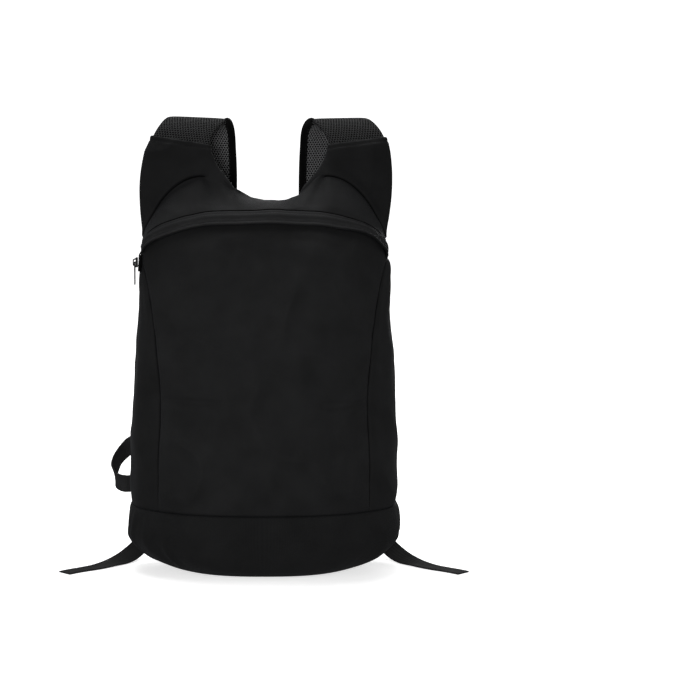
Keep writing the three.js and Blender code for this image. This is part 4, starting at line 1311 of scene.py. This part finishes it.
def build_panels():
    jobs = [
        ("front_panel", front_panel, (140, 160), SHELL, front_relief, FRONT_CLOTH_PAINTED_SHADOW, "lrb"),
        ("back_panel", back_panel, (110, 110), BACK_WALL, back_relief, CLOTH, "lrb"),
        ("side_panel_left", side_panel(-1), (54, 160), SHELL, side_relief(-1), SIDE_CLOTH_PAINTED_SHADE, "lrb"),
        ("side_panel_right", side_panel(1), (54, 160), SHELL, side_relief(1), SIDE_CLOTH_PAINTED_SHADE, "lrb"),
    ]
    for node, *shape in jobs:
        cloth(node, "shell_cloth", *shape)
    outer, normal = cloth("zip_flap", "shell_cloth", zip_flap, (260, 26), SHELL, flap_relief, FLAP_CLOTH_PAINTED_LIGHT_AND_SHADE, "t")
    for word, row in FLAP_STITCH_ROWS.items():
        sew(f"flap_stitch_{word}", outer[row, 3:-3], normal[row, 3:-3])
    shadow_cord("band_shadow_cord", outer[-2, 4:-10] + BAND_SHADOW_CORD_OFFSET, BAND_SHADOW_CORD, 260)
    outer, _ = cloth("yoke", "shell_cloth", yoke, (190, 54), SHELL, yoke_relief, YOKE_CLOTH_PAINTED_SHADE, "b")
    line = outer[DART_ROW]
    for word, side in SIDES:
        x = side * line[:, 0]
        shadow_cord(f"dart_shadow_cord_{word}", line[(x > DART_SEAM[0]) & (x < DART_SEAM[1])], DART_SHADOW_CORD, 120)
    cloth("bottom_panel", "boot_cloth", boot, (230, 62), BOOT_WALL, boot_relief, BOOT_CLOTH, "b", True)


def shadow_cord(name, line, radius, count):
    """A near-black cord laid into a crease along a line of points as painted shadow, thinner towards its
    ends.
    """
    path = even(line, count)
    onward = unit(np.gradient(path, axis=0))
    up = unit(np.cross(np.cross(onward, [0, -0.6, 0.8]), onward))
    share = np.linspace(0, 1, count)
    thick = radius * smooth(np.minimum(share, 1 - share), -0.02, 0.06)
    rings = tube(path, np.cross(onward, up), up, thick, 10)
    place_piece(loft(name, orient(rings), BINDING_AND_SHADOW_CORD), "black_tape")


def build_straps():
    for word, side in SIDES:
        shape = (wing(side), (90, 110), SHELL, wing_relief(side), COVER_CLOTH_PAINTED_SHADE)
        outer, normal = cloth(f"strap_cover_{word}", "shell_cloth", *shape)
        sew(f"hem_stitch_{word}", outer[HEM_STITCH], normal[HEM_STITCH])
        build_pad(word, side)
        for edge, sign in (("inner", -1), ("outer", 1)):
            build_binding(word, side, edge, sign)


def even_rows(side, step):
    """Row numbers a fixed length apart along a strap's middle line."""
    rows = np.linspace(0, LAST_ROW, 1200)
    reach = reach_of(strap_frame(rows, side)[0])
    return np.interp(np.arange(0, reach[-1], step), reach, rows)


def knit_relief(around, along):
    """Depth of the mesh's holes at a flat place on it, from 0 on a thread to 1 in a hole."""
    nearest = np.inf
    for shift in (0.0, 0.5):
        x = (around / KNIT_PITCH + shift) % 1 - 0.5
        y = ((along / (KNIT_PITCH * ROOT_3) + shift) % 1 - 0.5) * ROOT_3
        nearest = np.minimum(nearest, x * x + y * y)
    return 1 - smooth(np.sqrt(nearest), *KNIT_EDGE)


def build_pad(word, side):
    place, across, front, width = strap_frame(even_rows(side, KNIT_STEP), side)
    turn = np.linspace(0, 2 * np.pi, 721)
    c, s = rounded(np.cos(turn), PAD_ROUND[0]), rounded(np.sin(turn), PAD_ROUND[1])
    share = np.arange(KNIT_COLUMNS + 1) / KNIT_COLUMNS
    outlines, flat = [], []
    for k, wide in enumerate(width):
        line = np.stack([wide / 2 * c, PAD / 2 * s], -1)
        x, y = even(line, KNIT_COLUMNS + 1).T
        around = np.where(share < 0.5, share - 0.25, share - 0.75) * reach_of(line)[-1]
        face = np.sign(y) * (np.abs(y) > 1)
        crown = PAD_CROWN * (1 - (2 * x / wide) ** 4)
        y = y + face * (crown - KNIT_DEPTH * knit_relief(around, k * KNIT_STEP))
        outlines.append(np.stack([x, y], -1)[:-1])
        lining = LINING_SHIFT * (share > 0.5)
        flat.append(stack(around + lining, k * KNIT_STEP, 0)[:, :2])
    rings, flat = swept(place, across, front, np.array(outlines)), np.array(flat)
    if not winds_outward(rings):
        rings, flat = np.roll(rings[:, ::-1], 1, axis=1), flat[:, ::-1]
    piece = loft(f"strap_pad_{word}_mesh", rings, MESH, flat)
    place_piece(piece, "strap_mesh", f"strap_pad_{word}")


def binding_section(width, sign, lap):
    """Section of the tape folded round one edge of the pad, outside then back inside."""
    out, reach = width / 2 + BINDING_GAP, width / 2 - lap
    turn = np.linspace(np.pi / 2, -np.pi / 2, 9)

    def side(h):
        bend = BINDING_ROUND + h - BINDING_LOW
        cap = np.stack([out - BINDING_ROUND + bend * np.cos(turn), h * np.sin(turn)], -1)
        return np.vstack([[reach, h], [(reach + out) / 2, h], cap, [(reach + out) / 2, -h], [reach, -h]])

    return np.vstack([side(BINDING_HIGH), side(BINDING_LOW)[::-1]]) * (sign, 1)


def build_binding(word, side, edge, sign):
    rows = np.linspace(BINDING_FROM[edge], LAST_ROW, 220)
    place, across, front, width = strap_frame(rows, side)
    lap = lerp(BINDING_START, BINDING_REACH, smooth(rows - rows[0], 0, 0.9))
    outlines = np.array([binding_section(wide, sign, reach) for wide, reach in zip(width, lap)])
    rings = swept(place, across, front, outlines)
    rings = rings if side * sign > 0 else rings[:, ::-1]
    piece = loft(f"strap_binding_{edge}_{word}_tape", rings, BINDING_AND_SHADOW_CORD)
    place_piece(piece, "black_tape", f"strap_binding_{edge}_{word}")
    inset = sign * (width / 2 - lap + BINDING_STITCH)
    for face, way in (("front", 1), ("back", -1)):
        path = place + across * inset[:, None] + front * (way * BINDING_HIGH)
        sew(f"binding_stitch_{edge}_{word}_{face}", path, front * way, 3.6, 2.4, 0.28)


def webbing(node, rows, width, wall, count, material):
    """Webbing that stands for a node; the length it was cut to is left unused."""
    piece, length = strip(node + "_tape", rows, width, wall, count, material, node)


def build_webbing():
    for word, side in SIDES:
        rows = WEBBING if side > 0 else mirrored(WEBBING)
        webbing(f"webbing_{word}", rows, WEB_WIDTH, TAPE, 190, WEB)
        middle = stack(side * BUCKLE_X, CORNER_TAB["y"], CORNER_TAB["z"])
        tab = web_rows(middle, np.tile([1.0, 0, 0], (len(middle), 1)))
        webbing(f"corner_tab_{word}", tab, TAB_WIDTH, TAB_WALL, 44, WEB)
    webbing("side_loop", SIDE_LOOP, WEB_WIDTH, TAPE, 100, LOOP_WEB_PAINTED_LIGHT)


# Heights of the zip's lower end over the end of the arch, and the way its width runs there
ZIP_FALL = np.array([5.0, -1, -7, -13])
ZIP_END_WIDE = np.tile([0.0, 1, 0], (len(ZIP_FALL), 1))


def zip_end(stand):
    """Points down the side at the slider's end of the zip, standing off the cloth."""
    z = ZIP_END + ZIP_FALL
    return stack(-(side_x(np.full_like(z, SLIDER_Y), z) + stand), SLIDER_Y, z)


def chain_rows():
    s = np.linspace(*CHAIN_RUN, 27)
    at = zip_base(s, CHAIN_SHARE) + stack(-1.1 * rounded(s, 5), 0.9, -0.5)
    up = unit(zip_base(s, 0.5) - zip_base(s, 0.2))
    return web_rows(np.vstack([at, zip_end(CHAIN_STAND)]), np.vstack([up, ZIP_END_WIDE]))


def build_zip():
    rows = chain_rows()
    strip("zip_tape", rows, CHAIN_WIDTH, CHAIN_TAPE, 110, BINDING_AND_SHADOW_CORD)
    strip("zip_backing", web_rows(zip_end(BACKING_STAND), ZIP_END_WIDE), BACKING_WIDTH, BACKING, 24, BINDING_AND_SHADOW_CORD)
    place, across, face, length = strip_frames(rows, COIL_STEPS)
    turn = 2 * np.pi * np.linspace(0, length / COIL_PITCH, COIL_STEPS)[:, None]
    centre = place + across * COIL_HALF_WIDTH * np.cos(turn) + face * COIL_HALF_HEIGHT * np.sin(turn)
    onward = unit(np.gradient(centre, axis=0))
    side = unit(np.cross(onward, face))
    rings = tube(centre, side, np.cross(side, onward), COIL_WIRE, 6)
    place_piece(loft("zip_coil", orient(rings), COIL), "black_tape", "zip_chain")


def bevelled(node, name, width, material):
    """A copy of a hard solid with its edges rounded."""
    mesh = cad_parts[node].data.copy()
    mesh.materials.clear()
    mesh.materials.append(material)
    shape = bmesh.new()
    shape.from_mesh(mesh)
    bmesh.ops.remove_doubles(shape, verts=shape.verts, dist=2e-6)
    bmesh.ops.dissolve_limit(shape, angle_limit=math.radians(2), verts=shape.verts, edges=shape.edges)
    sharp = [e for e in shape.edges if len(e.link_faces) == 2 and e.calc_face_angle() > math.radians(35)]
    bmesh.ops.bevel(
        shape, geom=sharp, offset=width * MM, segments=2, profile=0.5, affect="EDGES", clamp_overlap=True
    )
    for face in shape.faces:
        face.smooth = True
    shape.to_mesh(mesh)
    shape.free()
    piece = link(name, mesh)
    weighted = piece.modifiers.new("weighted", "WEIGHTED_NORMAL")
    weighted.keep_sharp = True
    return piece


# Node, how it is made, width of its rounded edges, material and slot of each hard piece
HARDWARE = (
    ("buckle_left", "moulded", 0.6, PLASTIC, "buckle_plastic"),
    ("buckle_right", "moulded", 0.6, PLASTIC, "buckle_plastic"),
    ("zip_slider", "cast", 0.35, DARK_METAL, "zip_metal"),
    ("zip_pull", "stamped", 0.25, NICKEL, "zip_metal"),
)


def build_hardware():
    for node, word, width, material, slot in HARDWARE:
        piece = bevelled(node, f"{node}_{word}", width, material)
        place_piece(piece, slot, node, body=PULL_BODY if node == "zip_pull" else BODY_NAME)


# Stage, light and camera at the photograph's angle, in metres
CAMERA_DISTANCE = 2.3
CAMERA_ELEVATION = 6.5
TARGET = Vector((0, 0, 0.25))
FRAME_WIDTH = 0.784
SENSOR = 36.0
TARGET_PIXEL = (264.0, 348.3)
PICTURE = 700.0
STAGE_RADIUS = 4.0
STAGE_HEIGHT = 3.0
SWEEP = 1.5
STAGE_GLOW = (0.62, 0.9)
GLOW_REACH = (0.17, 0.6)
WORLD_LIGHT = 0.25
# Name, place, target, width and height, and power of each area light
LIGHTS = (
    ("top_box", (-0.2, 0.45, 1.9), (0, 0.05, 0.3), (1.4, 1.0), 25),
    ("front_box", (-0.45, -2.7, 0.4), (0, 0, 0.3), (1.0, 0.7), 39),
    ("rear_box", (0.8, 2.4, 1.2), (0, 0, 0.3), (1.4, 1.0), 20),
    ("left_box", (-2.6, 0.3, 0.6), (0, 0, 0.25), (0.8, 0.8), 6),
    ("right_box", (2.6, 0.3, 0.6), (0, 0, 0.25), (0.8, 0.8), 9),
)


def floor_look():
    """A pale floor that glows more with the distance from the pack."""
    look = Look("pale_floor")
    away = look.nodes.new("ShaderNodeVectorMath")
    away.operation = "LENGTH"
    look.links.new(look.place(), away.inputs[0])
    glow = look.nodes.new("ShaderNodeMapRange")
    names = ("From Min", "From Max", "To Min", "To Max")
    look.feed(glow, {"Value": away.outputs["Value"], **dict(zip(names, GLOW_REACH + STAGE_GLOW))})
    return look.dress({
        "Base Color": (0.93, 0.93, 0.93),
        "Roughness": 0.9,
        "Specular IOR Level": 0.0,
        "Emission Color": (1, 1, 1),
        "Emission Strength": glow.outputs[0],
    })


def build_stage():
    """A round pale floor that sweeps up into a wall all the way round."""
    turn = np.linspace(0, np.pi / 2, 12)
    profile = [(0.001, 0.0), (1.5, 0.0)]
    profile += [(STAGE_RADIUS + SWEEP * (np.sin(a) - 1), SWEEP * (1 - np.cos(a))) for a in turn]
    profile.append((STAGE_RADIUS, STAGE_HEIGHT))
    around = np.linspace(0, 2 * np.pi, 97)[:-1]
    points = np.array([(r * np.cos(a), r * np.sin(a), z) for r, z in profile for a in around])
    faces, places = quads(len(profile) - 1, len(around), True)
    floor = make("floor", points / MM, faces, places, floor_look())
    floor.visible_diffuse = False
    floor.visible_glossy = False


def aim(thing, way):
    thing.rotation_euler = way.to_track_quat("-Z", "Y").to_euler()


def build_light():
    world = bpy.data.worlds.new("studio")
    world.use_nodes = True
    background = world.node_tree.nodes["Background"]
    background.inputs["Color"].default_value = (1, 1, 1, 1)
    background.inputs["Strength"].default_value = WORLD_LIGHT
    bpy.context.scene.world = world
    for name, place, target, size, power in LIGHTS:
        light = bpy.data.lights.new(name, "AREA")
        light.shape = "RECTANGLE"
        light.size, light.size_y = size
        light.energy = power
        lamp = link(name, light)
        lamp.location = place
        aim(lamp, Vector(target) - Vector(place))


def build_camera():
    camera = bpy.data.cameras.new("camera")
    camera.sensor_width = SENSOR
    camera.lens = SENSOR * CAMERA_DISTANCE / FRAME_WIDTH
    camera.shift_x = (PICTURE / 2 - TARGET_PIXEL[0]) / PICTURE
    camera.shift_y = -(PICTURE / 2 - TARGET_PIXEL[1]) / PICTURE
    rise = math.radians(CAMERA_ELEVATION)
    away = Vector((0, -math.cos(rise), math.sin(rise)))
    eye = link("camera", camera)
    eye.location = TARGET + away * CAMERA_DISTANCE
    aim(eye, -away)
    bpy.context.scene.camera = eye


build_stage()
build_light()
build_camera()
build_panels()
build_straps()
build_webbing()
build_zip()
build_hardware()
bpy.context.scene.view_settings.view_transform = "Standard"
